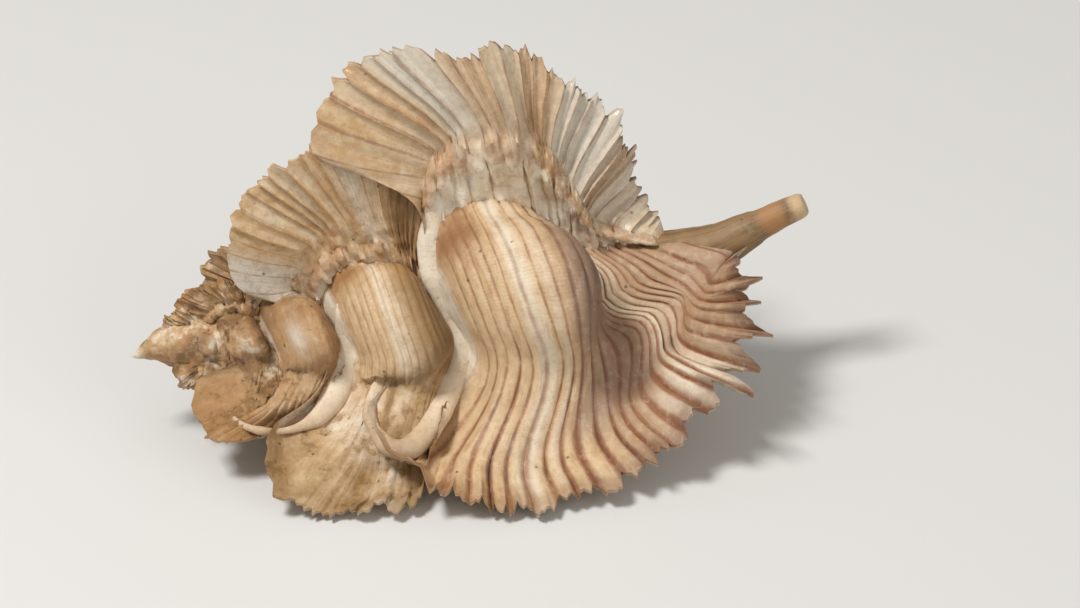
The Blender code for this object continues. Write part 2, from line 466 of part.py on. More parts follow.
def mouth_rim(count, sides):
    """The raised rim round the mouth."""
    loop = mouth_loop(0.0, count) * stage_scale(STAGES)
    run = np.roll(loop, -1, axis=0) - np.roll(loop, 1, axis=0)
    normal = np.stack([-run[:, 1], run[:, 0]], axis=1)
    normal /= np.linalg.norm(normal, axis=1)[:, None]
    turn = np.linspace(0, 2 * np.pi, sides, endpoint=False)
    out = 1.2 * np.cos(turn)
    along = loop[:, None, 0] + out * normal[:, None, 0]
    radius = loop[:, None, 1] + out * normal[:, None, 1]
    across = 1.0 + 1.2 * np.sin(turn) + 0 * along
    points = bent(round_axis(along, radius, LIP_ANGLE, across))
    numbers = np.arange(count * sides).reshape(count, sides)
    numbers = np.concatenate([numbers, numbers[:1]])
    after = np.roll(numbers, -1, axis=1)
    faces = np.stack([numbers[:-1], after[:-1], after[1:], numbers[1:]], axis=-1).reshape(-1, 4).tolist()
    return new_object("mouth_rim", points, faces)


def combine(base, other, operation):
    """One Boolean step. The exact solver loses most of the stages here, so this is the manifold one."""
    step = base.modifiers.new(other.name, "BOOLEAN")
    step.operation = operation
    step.solver = "MANIFOLD"
    step.object = other


def evaluated(made):
    graph = bpy.context.evaluated_depsgraph_get()
    return bpy.data.meshes.new_from_object(made.evaluated_get(graph))


def laid_down(mesh):
    """Turn the mesh so that DOWN points down, and put its lowest part a little under the ground."""
    up = -Vector(DOWN).normalized()
    ahead = (Vector((1.0, 0.0, 0.0)) - up * up.x).normalized()
    turn = Matrix((ahead, up.cross(ahead), up)).to_4x4()
    mesh.transform(turn)
    low = [min(v.co[i] for v in mesh.vertices) for i in range(3)]
    high = [max(v.co[i] for v in mesh.vertices) for i in range(3)]
    mesh.transform(Matrix.Translation((-(low[0] + high[0]) / 2, -(low[1] + high[1]) / 2, -low[2] - WORN)))


def ground_block():
    """Everything below the ground, as a cutter."""
    bm = bmesh.new()
    bmesh.ops.create_cube(bm, size=0.2)
    bmesh.ops.translate(bm, verts=bm.verts, vec=(0.0, 0.0, -0.1))
    mesh = bpy.data.meshes.new("ground")
    bm.to_mesh(mesh)
    bm.free()
    made = bpy.data.objects.new("ground", mesh)
    bpy.context.scene.collection.objects.link(made)
    return made


def keep_largest_body(mesh):
    """Drop the small closed pockets left where stages meet inside the shell."""
    bm = bmesh.new()
    bm.from_mesh(mesh)
    unseen = set(bm.verts)
    bodies = []
    while unseen:
        body = {unseen.pop()}
        edge_of_body = list(body)
        while edge_of_body:
            vert = edge_of_body.pop()
            for link in vert.link_edges:
                other = link.other_vert(vert)
                if other in unseen:
                    unseen.discard(other)
                    body.add(other)
                    edge_of_body.append(other)
        bodies.append(body)
    bodies.sort(key=len)
    for body in bodies[:-1]:
        bmesh.ops.delete(bm, geom=list(body), context="VERTS")
    bm.to_mesh(mesh)
    bm.free()
    mesh.update()


def main():
    for found in list(bpy.data.objects):
        bpy.data.objects.remove(found)

    pieces = []
    for stage in range(STAGES, FIRST_STAGE - 1, -1):
        back = STAGES - stage
        if back == 0:
            share = shares_at_cords(stage, 0.5)
            made = stage_object(stage, share, 5, (0.0, 0.09, 0.2, 0.33, 0.5, 1.0), (1.0, 0.5, 0.0))
        elif back == 1:
            share = shares_at_cords(stage, 0.57)
            made = stage_object(stage, share, 4, (0.0, 0.12, 0.27, 0.5, 1.0), (1.0, 0.5, 0.38, 0.0))
        elif back < 5:
            share = shares_at_cords(stage, 0.87)
            made = stage_object(stage, share, 4, (0.0, 0.12, 0.27, 0.5, 1.0), (1.0, 0.5, 0.36, 0.0))
        elif back < 8:
            share = np.concatenate([[0.0, 0.03, 0.06, 0.09], np.linspace(0.13, 1, 11)])
            made = stage_object(stage, share, 4, (0.0, 0.2, 0.5, 1.0), (1.0, 0.45, 0.0))
        else:
            share = np.concatenate([[0.0, 0.06], np.linspace(0.15, 1, 8)])
            made = stage_object(stage, share, 3, (0.0, 0.25, 1.0), (1.0, 0.4, 0.0))
        pieces.append(made)

    middle = np.stack([CANAL[:, 0], CANAL[:, 1], 0 * CANAL[:, 0]], axis=1)
    pieces.append(rod("canal", bent(middle), CANAL[:, 2], 12))
    along = PILLAR[:, 0] * 58.0
    pieces.append(rod("pillar", np.stack([along, PILLAR[:, 1], 0 * along], axis=1), PILLAR[:, 2], 12))
    pieces.append(ramp_rim("last_rim", LAST_RIM, 19, 5))
    pieces.append(ramp_rim("second_rim", SECOND_RIM, 14, 5))
    pieces.append(mouth_rim(20, 6))
    hollow = mouth_hollow(14, 9)

    base = pieces[0]
    for other in pieces[1:]:
        combine(base, other, "UNION")
    combine(base, hollow, "DIFFERENCE")
    whole = evaluated(base)
    for used in pieces + [hollow]:
        bpy.data.objects.remove(used)
    keep_largest_body(whole)
    laid_down(whole)

    rough = bpy.data.objects.new("rough", whole)
    bpy.context.scene.collection.objects.link(rough)
    ground = ground_block()
    combine(rough, ground, "DIFFERENCE")
    mesh = evaluated(rough)
    mesh.name = "shell"
    mesh.shade_smooth()
    mesh.set_sharp_from_angle(angle=math.radians(SHARP_ANGLE))
    bpy.data.objects.remove(rough)
    bpy.data.objects.remove(ground)

    shell = bpy.data.objects.new("shell", mesh)
    bpy.context.scene.collection.objects.link(shell)

    look = bpy.data.materials.new("ivory and tan shell")
    look.use_nodes = True
    surface = look.node_tree.nodes["Principled BSDF"]
    surface.inputs["Base Color"].default_value = (0.58, 0.40, 0.24, 1.0)
    surface.inputs["Roughness"].default_value = 0.45
    surface.inputs["Metallic"].default_value = 0.0
    mesh.materials.append(look)


main()
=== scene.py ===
"""The looks of the winged murex shell: its fine surface, its colours, and the studio it lies in.

The shell's surface is grown again here at a finer step than the solid it stands for, by the same rule: it
grows round an axis in thirds of a whorl, and each third ends in a fluted wing. Millimetres and degrees are
used for the growing, in the design's own frame. X runs along the axis from the tip of the spire towards
the canal, and angles are measured round X from +Y towards +Z. The finished mesh is then laid down in the
row's frame, in metres.
"""
import math

import bmesh
import bpy
import numpy as np
from mathutils import Matrix, Vector, noise


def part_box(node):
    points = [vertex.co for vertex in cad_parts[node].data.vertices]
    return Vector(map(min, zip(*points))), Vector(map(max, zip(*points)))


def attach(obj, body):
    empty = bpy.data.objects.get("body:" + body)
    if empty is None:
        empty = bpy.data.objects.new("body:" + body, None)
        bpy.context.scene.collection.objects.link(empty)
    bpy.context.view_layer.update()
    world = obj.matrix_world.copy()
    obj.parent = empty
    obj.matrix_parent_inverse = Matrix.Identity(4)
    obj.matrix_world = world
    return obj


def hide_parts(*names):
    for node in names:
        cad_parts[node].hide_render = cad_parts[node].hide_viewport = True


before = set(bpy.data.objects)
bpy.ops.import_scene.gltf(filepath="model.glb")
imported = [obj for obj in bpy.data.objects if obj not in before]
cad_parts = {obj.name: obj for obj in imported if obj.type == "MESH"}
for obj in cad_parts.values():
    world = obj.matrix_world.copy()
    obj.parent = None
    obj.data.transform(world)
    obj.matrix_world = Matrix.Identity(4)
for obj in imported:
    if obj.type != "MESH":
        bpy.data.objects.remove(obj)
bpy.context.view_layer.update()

# growth
STAGES = 15                 # thirds of a whorl; the last one ends at the outer lip
STEP_ANGLE = 120.0          # degrees from one wing to the next
WHORL_GROWTH = 1.52         # ratio of linear size over one whorl
LIP_ANGLE = 150.0           # where the outer lip stands round the axis
CORDS = 26                  # spiral cords from the shoulder to the canal, one flute each on a wing
FIRST_CORD = 0.055          # share of the profile before the first cord: the smooth ramp
FLARE_ANGLE = 40.0          # degrees before a wing where the whorl starts to flare into it
OVERLAP_ANGLE = 127.0       # degrees of whorl that one stage covers
MIDDLE = 0.45               # share of a wing's ray at its middle line

# canal
BEND_FROM = 57.0            # mm along the axis where the canal starts to bend
BEND_TO = 85.4
BEND_BY = 8.4               # mm sideways at its tip
BEND_ANGLE = 40.0           # degrees round the axis

# The canal's middle line: mm along the axis, mm beside the bent axis, and radius.
CANAL = np.array([
    (48.0, 0.0, 2.4), (53.0, 0.0, 3.6), (57.0, 0.0, 4.3), (61.0, 0.0, 4.35), (65.0, 0.1, 4.1),
    (68.0, -0.2, 3.8), (72.6, -0.8, 3.2), (75.0, -0.9, 2.8), (77.7, -0.6, 2.4), (79.2, -0.5, 2.15),
    (79.7, -0.5, 1.9), (82.4, -0.3, 1.75), (84.8, -0.3, 1.6), (85.3, -0.3, 1.5), (85.6, -0.3, 1.25)])

# wall
PLATE_ROOT = 1.5            # mm thick where a wing leaves the whorl, on the last whorl
PLATE_EDGE = 0.7            # mm thick at its edge
CORD_HEIGHT = 0.5
FLUTE_HEIGHT = 1.2

# The pillar up the middle, worn to a cone at its tip: share of its length, mm above the axis, and radius.
PILLAR_LENGTH = 58.0
PILLAR = np.array([
    (0.0, 0.0, 0.12), (0.012, 0.1, 0.45), (0.035, 0.4, 1.15), (0.07, 0.7, 2.1), (0.12, 0.6, 2.9),
    (0.17, 0.3, 3.2), (0.24, 0.0, 3.0), (0.35, 0.0, 2.8), (1.0, 0.0, 3.0)])

# resting place: on the outer lip, the lower wing before it and the back wing
DOWN = (-0.0461, -0.8386, -0.5428)      # straight down, in the design's own frame
WORN = 0.0004               # metres worn flat where those wings touch the ground
SHARP_ANGLE = 55.0          # degrees between faces that are shaded as a crease

# Profile of the whorl at the middle of the last stage, from the suture to the canal: share of the profile,
# mm along the axis, radius between the knobs, radius over a knob.
WHORL = np.array([
    (0.00, 39.0, 4.5, 4.5), (0.05, 41.0, 8.3, 9.0), (0.10, 43.0, 11.2, 12.8), (0.17, 45.6, 13.0, 16.0),
    (0.25, 48.8, 13.8, 18.2), (0.33, 52.1, 13.4, 19.3), (0.40, 54.9, 12.0, 19.2), (0.45, 56.6, 10.4, 16.6),
    (0.49, 57.7, 9.3, 12.6), (0.53, 58.4, 8.4, 9.8), (0.58, 58.9, 7.6, 8.1), (0.66, 59.8, 6.6, 6.7),
    (0.75, 61.5, 5.8, 5.8), (0.85, 64.2, 5.1, 5.1), (0.93, 67.5, 4.3, 4.3), (1.00, 72.0, 3.4, 3.4)])
# the way back along the axis, mm along and radius
CORE = np.array([(73.3, 1.8), (73.5, 0.4), (57.0, 0.4), (40.5, 0.4), (38.6, 3.2)])

# Shares of the profile at which most of the wings are measured.
MEASURED_AT = (0.00, 0.02, 0.04, 0.06, 0.08, 0.11, 0.17, 0.25, 0.33, 0.40, 0.46, 0.52, 0.58,
               0.66, 0.75, 0.85, 0.93, 1.00)


def measured(*rows):
    return np.column_stack([MEASURED_AT, rows])


# Wings: share of the profile, then mm along the axis and radius of the middle line, then of the edge.
OUTER_LIP = np.array([
    (0.00, 38.8, 4.7, 38.2, 5.3), (0.02, 36.5, 8.0, 32.5, 10.0), (0.04, 34.8, 11.5, 28.8, 13.4),
    (0.06, 34.8, 14.8, 29.2, 19.4), (0.08, 36.0, 17.2, 31.8, 23.2), (0.11, 38.2, 19.3, 35.0, 27.6),
    (0.17, 41.6, 21.3, 39.8, 30.6), (0.25, 46.0, 22.4, 45.5, 32.0), (0.33, 50.3, 22.2, 51.2, 31.4),
    (0.40, 54.3, 21.4, 56.6, 30.2), (0.46, 57.8, 20.0, 61.2, 28.8), (0.52, 60.8, 18.4, 65.3, 27.2),
    (0.58, 63.4, 16.8, 68.9, 25.0), (0.66, 66.0, 14.6, 73.0, 22.8), (0.75, 68.2, 12.2, 75.8, 19.6),
    (0.82, 69.8, 10.2, 77.2, 15.8), (0.90, 71.4, 7.8, 78.0, 11.2), (0.96, 72.8, 5.8, 77.8, 7.4),
    (1.00, 74.5, 4.2, 76.4, 4.6)])
UPPER_WING = np.array([
    (0.00, 38.9, 4.7, 38.8, 5.4), (0.02, 38.8, 8.0, 38.6, 11.5), (0.04, 38.7, 13.0, 38.0, 17.0),
    (0.055, 39.0, 16.0, 33.5, 20.2), (0.07, 39.4, 17.8, 28.0, 22.8), (0.085, 40.0, 19.2, 26.0, 26.0),
    (0.11, 41.0, 21.2, 27.9, 31.0), (0.17, 42.8, 23.2, 31.8, 34.0), (0.25, 45.0, 24.5, 37.0, 36.0),
    (0.33, 47.6, 24.9, 42.5, 35.2), (0.40, 50.2, 24.6, 47.5, 34.4), (0.47, 52.6, 23.6, 52.0, 34.6),
    (0.55, 54.6, 21.6, 56.5, 30.6), (0.63, 56.2, 18.6, 60.6, 27.0), (0.72, 57.6, 15.0, 64.0, 22.4),
    (0.81, 58.8, 11.6, 66.0, 16.6), (0.90, 60.2, 8.4, 66.6, 10.8), (1.00, 66.5, 4.4, 68.5, 4.6)])
SECOND_LOWER = measured(
    (25.6, 3.1, 25.2, 3.7), (24.2, 6.0, 23.4, 8.8), (23.2, 8.8, 20.4, 11.8), (22.8, 11.4, 16.6, 13.8),
    (23.1, 13.5, 14.6, 17.6), (24.3, 15.5, 16.2, 23.6), (26.3, 17.3, 19.0, 26.7), (29.0, 18.2, 23.6, 27.8),
    (31.8, 18.0, 28.2, 27.9), (34.3, 16.6, 32.8, 27.4), (36.3, 13.6, 36.0, 20.5), (38.0, 11.2, 38.6, 14.6),
    (39.5, 9.6, 40.6, 11.6), (41.3, 8.2, 42.6, 9.4), (43.2, 6.8, 44.6, 7.8), (45.5, 5.2, 46.8, 6.0),
    (47.5, 4.0, 48.6, 4.6), (50.0, 2.7, 50.1, 2.9))
SECOND_UPPER = measured(
    (22.3, 2.7, 21.9, 3.3), (21.5, 4.6, 18.5, 5.6), (21.4, 6.5, 14.8, 8.2), (21.9, 8.4, 13.7, 12.0),
    (22.6, 10.2, 13.9, 15.2), (23.9, 11.8, 14.9, 18.4), (25.6, 13.0, 17.3, 20.8), (27.6, 14.4, 21.0, 23.2),
    (29.6, 15.0, 25.2, 25.6), (31.6, 15.0, 29.0, 26.4), (33.2, 14.4, 32.2, 25.8), (34.6, 13.2, 35.0, 24.2),
    (35.8, 11.6, 37.2, 21.5), (37.0, 9.4, 39.4, 17.6), (38.4, 7.2, 41.2, 13.2), (40.2, 5.0, 42.4, 8.8),
    (42.0, 3.6, 43.2, 5.6), (43.6, 2.4, 43.7, 2.6))
THIRD_LOWER = measured(
    (16.8, 2.1, 16.4, 2.6), (15.8, 3.4, 12.5, 4.2), (14.8, 5.0, 8.4, 5.4), (14.4, 6.6, 7.2, 8.0),
    (14.8, 8.0, 7.0, 10.4), (15.5, 9.2, 7.2, 12.4), (16.6, 10.2, 8.6, 14.4), (18.4, 10.6, 13.0, 15.0),
    (20.2, 10.4, 17.4, 13.6), (21.9, 9.6, 20.4, 11.8), (23.3, 8.6, 22.6, 10.2), (24.5, 7.6, 24.2, 8.8),
    (25.5, 6.6, 25.6, 7.6), (26.8, 5.4, 27.0, 6.2), (28.2, 4.4, 28.4, 5.0), (29.8, 3.8, 30.2, 4.8),
    (31.4, 2.8, 31.6, 3.2), (32.8, 1.8, 32.9, 2.0))
BACK_WING = measured(
    (31.5, 3.8, 31.0, 4.4), (30.5, 6.1, 26.8, 7.3), (29.8, 8.5, 20.5, 9.7), (30.0, 11.0, 17.8, 13.5),
    (30.8, 12.7, 17.8, 16.5), (31.8, 14.0, 19.4, 20.0), (33.9, 15.8, 23.4, 22.8), (36.5, 17.0, 28.8, 23.6),
    (39.2, 17.8, 34.8, 24.0), (41.8, 18.0, 40.8, 25.0), (44.2, 17.8, 46.4, 27.0), (46.4, 16.8, 51.4, 27.8),
    (48.2, 15.2, 55.2, 25.0), (49.8, 12.8, 56.4, 19.0), (51.4, 9.9, 57.6, 14.2), (53.4, 7.0, 58.0, 9.4),
    (55.5, 5.0, 58.2, 6.4), (58.0, 3.4, 58.3, 3.7))
# any other wing, at the size of the last stage
PLAIN_WING = measured(
    (38.8, 4.7, 38.2, 5.4), (37.6, 7.5, 33.0, 9.0), (36.8, 10.5, 24.5, 12.0), (37.0, 13.5, 19.5, 17.5),
    (38.0, 15.6, 18.8, 22.5), (39.2, 17.4, 20.0, 27.5), (41.8, 20.0, 24.0, 32.0), (45.0, 22.0, 30.5, 35.0),
    (48.3, 23.0, 38.0, 36.5), (51.5, 23.0, 45.0, 37.0), (54.2, 22.0, 50.0, 36.5), (56.5, 20.2, 55.0, 34.0),
    (58.4, 18.0, 59.0, 30.5), (60.4, 14.7, 63.0, 25.5), (62.7, 11.4, 66.5, 19.5), (65.6, 8.2, 69.0, 13.0),
    (68.5, 5.9, 70.5, 8.5), (71.5, 3.9, 71.6, 4.2))
OWN_TABLE = {0: OUTER_LIP, 1: UPPER_WING, 2: BACK_WING, 3: SECOND_LOWER, 4: SECOND_UPPER, 6: THIRD_LOWER}

# How single wings and the whorl before them differ, by stages back from the lip.
LEAN = {0: -2.0, 1: -3.0, 2: 1.5, 3: -1.0, 4: -1.0, 7: -1.6}    # mm that the edge leans
LAP = {0: -2.6, 1: 3.2, 3: -0.6, 4: 2.4, 6: -0.8, 7: 0.2}       # mm that its lobes by the ramp lap over
BEHIND = {0: 3.6, 3: 1.6}   # mm that the wing bends aside behind those lobes
SHRINK = {5: 0.95, 7: 0.72, 8: 0.85}    # how far the edge stands out, as a share of the plain wing's
FOLDED = {2: 0.3}           # share of the folds left in a flatter wing
KNOB = {2: 0.45, 5: 0.7}    # lower knobs on the side the shell lies on
KNOB_SHAPE = {3: (-61.0, 42.0, 7.0), 6: (-60.0, 40.0, 5.0)}    # degrees to its middle, half width, squareness
KNOB_AHEAD = {0: 2.2}       # mm that a knob leans along the axis on its canal side, and 0.8 for the others
TUCK = {3: 3.0, 6: 2.2}     # how far these flares dip under the ramp of the whorl after them
MORE_FLUTES = {1: 1.2, 4: 2.5}  # flutes between the ramp's edge and the first cord
FLAT_FLUTES = (1, 4)        # wings whose flutes are broad and flat, with thin ridges between
FAINT_CORDS = {3: 0.4}      # share of the cords' height left on a smoother flare
NECK = {3: 2.8, 6: 1.2}     # mm that a flare steps in below the knob before it
LOW_COLLAR = (0, 7)         # wings with only a low collar
PINCH = {0: 2.0}            # mm that the whorl draws in after a knob, on its canal side
LATE = {0: 1.0}             # flares that leave the whorl late beside the pinch
BOW = {0: 2.5}              # mm that their cords bow towards the canal there
BULGE = {0: 1.3}            # mm that they swell there

# The thick rims of the ramp where it wraps the whorl before: share of its length, X, Y, Z and radius in mm.
LAST_RIM = np.array([
    (0.00, 41.4, 15.6, 8.4, 1.2), (0.07, 39.8, 11.8, 6.7, 1.5), (0.15, 38.9, 7.4, 6.0, 1.5),
    (0.23, 39.0, 3.6, 6.0, 1.4), (0.31, 40.3, -0.6, 5.0, 1.3), (0.39, 40.9, -4.6, 4.7, 1.2),
    (0.46, 40.0, -7.8, 5.2, 1.4), (0.53, 38.6, -10.4, 6.4, 1.5), (0.60, 36.8, -13.0, 8.0, 1.6),
    (0.68, 34.7, -15.2, 9.8, 1.5), (0.76, 32.7, -16.2, 11.2, 1.3), (0.84, 30.8, -15.8, 11.6, 1.15),
    (0.90, 29.4, -14.2, 10.6, 1.0), (0.96, 28.6, -11.9, 8.9, 0.85), (1.00, 28.9, -10.1, 8.0, 0.5)])
SECOND_RIM = np.array([
    (0.00, 28.5, 7.4, 3.6, 0.5), (0.10, 28.0, 4.6, 5.7, 0.8), (0.20, 27.4, 1.6, 5.6, 1.1),
    (0.30, 26.9, -1.6, 3.7, 1.3), (0.42, 26.2, -5.2, 3.0, 1.8), (0.52, 24.6, -8.4, 4.3, 1.8),
    (0.62, 22.3, -10.8, 6.2, 1.2), (0.72, 19.4, -11.8, 7.4, 0.65), (0.82, 16.0, -11.7, 8.1, 0.45),
    (0.92, 12.8, -10.4, 6.9, 0.36), (1.00, 10.4, -7.6, 4.9, 0.25)])

# fine surface
FINE = 0.78                 # how fine the surface is grown: 1 gives about 300,000 triangles
COLLAR = {0: 0.46, 1: 0.40, 4: 0.25}    # share of the rays at which a wing's front collar stands
PLAIN_COLLAR = 0.40
CORD_SEED = 100             # each stage's own random numbers start at one of these plus its number
FOLD_SEED = 300
SPUR_SEED = 500
DRAWS = 64                  # random numbers drawn at a time, more than any wing has flutes
FULL_TURN = 6.28            # a wave's length, in radians

# The sides that a point can be on.
ON_WHORL, ON_FLARE, ON_FACE, IN_MOUTH, ON_ROD = range(5)


def stage_scale(stage):
    return WHORL_GROWTH ** ((stage - (STAGES - 0.5)) / 3)


def ease(x, start, end):
    t = np.clip((x - start) / (end - start), 0, 1)
    return t * t * (3 - 2 * t)


def hump(x, centre, width, power=2.0):
    return np.exp(-np.abs((x - centre) / width) ** power)


def curve_through(table, share):
    """A smooth curve through a table's rows, read at each share of the profile."""
    x = table[:, 0]
    y = table[:, 1:]
    slope = np.empty_like(y)
    slope[1:-1] = (y[2:] - y[:-2]) / (x[2:] - x[:-2])[:, None]
    slope[0] = (y[1] - y[0]) / (x[1] - x[0])
    slope[-1] = (y[-1] - y[-2]) / (x[-1] - x[-2])
    i = np.clip(np.searchsorted(x, share, side="right") - 1, 0, len(x) - 2)
    h = (x[i + 1] - x[i])[:, None]
    t = (share - x[i])[:, None] / h
    start = (2 * t**3 - 3 * t**2 + 1) * y[i] + (t**3 - 2 * t**2 + t) * h * slope[i]
    return start + (3 * t**2 - 2 * t**3) * y[i + 1] + (t**3 - t**2) * h * slope[i + 1]


def round_axis(along, radius, angle, across=0.0):
    """Points from mm along the axis, radius, degrees round it, and mm across the half-plane there."""
    turn = np.radians(angle)
    y = radius * np.cos(turn) - across * np.sin(turn)
    z = radius * np.sin(turn) + across * np.cos(turn)
    return np.stack(np.broadcast_arrays(along, y, z), axis=-1)


def bent(points):
    """The same points after the bend of the canal."""
    t = np.clip((points[..., 0] - BEND_FROM) / (BEND_TO - BEND_FROM), 0, None)
    by = BEND_BY * t ** 1.25
    out = points.copy()
    out[..., 1] += by * math.cos(math.radians(BEND_ANGLE))
    out[..., 2] += by * math.sin(math.radians(BEND_ANGLE))
    return out


def cord_number(share, stage):
    """Which cord each share of the profile is on, a little unevenly spaced."""
    number = CORDS * (share - FIRST_CORD) / (1 - FIRST_CORD)
    rng = np.random.default_rng(CORD_SEED + stage)
    phase = rng.uniform(0, 2 * np.pi, 3)
    size = rng.uniform(0.1, 0.25, 3)
    held = ease(share, 0.05, 0.16) * ease(share, 1.0, 0.93)
    for n in range(3):
        number = number + size[n] * np.sin(2 * np.pi * (n + 1.3) * share * 2.1 + phase[n]) * held
    return number


def wing_table(stage):
    back = STAGES - stage
    if back in OWN_TABLE:
        return OWN_TABLE[back]
    table = PLAIN_WING.copy()
    table[:, 1:] *= stage_scale(stage)
    shrink = SHRINK.get(back, 1.0 if back < 9 else 0.72)
    table[:, 3:] = table[:, 1:3] + (table[:, 3:] - table[:, 1:3]) * shrink
    return table


def whorl_profile(stage, share, delta):
    """(mm along, radius) at delta degrees after the wing of this stage."""
    back = STAGES - stage
    scale = np.asarray(stage_scale(stage + delta / STEP_ANGLE))
    shape = curve_through(WHORL, share)
    at, width, squareness = KNOB_SHAPE.get(back, (-66.0, 36.0, 2.6))
    knob = hump(delta, at + 10 * (share - 0.25), width, squareness) * KNOB.get(back, 1.0)
    radius = shape[:, 1] + (shape[:, 2] - shape[:, 1]) * knob
    radius = radius * (1 + 0.12 * ease(delta, -102, -119))
    ahead = KNOB_AHEAD.get(back, 0.8) * hump(share, 0.44, 0.10) * knob
    pinch = PINCH.get(back, 0.0) * ease(share, 0.30, 0.46) * ease(share, 0.95, 0.62)
    ahead = ahead - pinch * ease(delta, -72, -34)
    return np.stack([(shape[:, 0] + ahead) * scale, radius * scale], axis=1)


def smooth_between(t, start, leave, end, arrive):
    """Share t of the way from start to end, leaving and arriving along the given vectors."""
    return ((2 * t**3 - 3 * t**2 + 1) * start + (t**3 - 2 * t**2 + t) * leave
            + (3 * t**2 - 2 * t**3) * end + (t**3 - t**2) * arrive)


def lifted(profile, amount):
    """A profile moved out along its own normal."""
    run = np.gradient(profile, axis=0)
    normal = np.stack([-run[:, 1], run[:, 0]], axis=1)
    normal /= np.maximum(np.linalg.norm(normal, axis=1), 1e-9)[:, None]
    return profile + normal * np.asarray(amount)[:, None]


def edge_reach(stage, cords, share):
    """How far the ragged edge stands past its table, mm: blunt flutes, and spikes by the canal."""
    size = stage_scale(stage)
    rng = np.random.default_rng(stage)
    length = rng.uniform(0.0, 1.0, DRAWS)
    blunt = rng.uniform(0.9, 3.0, DRAWS)
    number = np.clip(np.floor(cords).astype(int), 0, 40)
    x = cords - np.floor(cords)
    reach = size ** 0.7 * (0.3 + 2.2 * length[number] ** 1.5) * (1 - np.abs(2 * x - 1) ** blunt[number])
    if stage == STAGES:
        pair = np.floor((cords + 0.4) / 1.85).astype(int)
        px = (cords + 0.4) / 1.85 - pair
        spiky = ease(share, 0.55, 0.66) * ease(share, 1.0, 0.95)
        spike = (3.6 + 3.4 * length[pair + 20]) * (1 - np.abs(2 * px - 1) ** 0.8)
        reach = reach * (1 - 0.8 * spiky) + spike * spiky - 1.5 * spiky
    return (reach - 1.5 * size ** 0.7) * ease(share, 0.03, 0.09) * ease(share, 1.0, 0.95)


def ragged(stage, cords, share):
    """Small bites and spurs along the edge, mm."""
    size = stage_scale(stage)
    rng = np.random.default_rng(SPUR_SEED + stage)
    spur = rng.uniform(-0.2, 1.0, DRAWS)
    phase = rng.uniform(0, FULL_TURN, 3)
    nearest = np.clip(np.round(cords).astype(int), 0, 60)
    off = np.abs(cords - np.round(cords))
    bites = 0.32 * np.sin(FULL_TURN * cords * 1.7 + phase[0])
    bites += 0.25 * np.sin(FULL_TURN * cords * 3.3 + phase[1])
    spurs = 1.3 * np.maximum(0, spur[nearest]) * hump(off, 0.0, 0.16)
    return size ** 0.7 * (bites + spurs - 0.7) * ease(share, 0.05, 0.10)


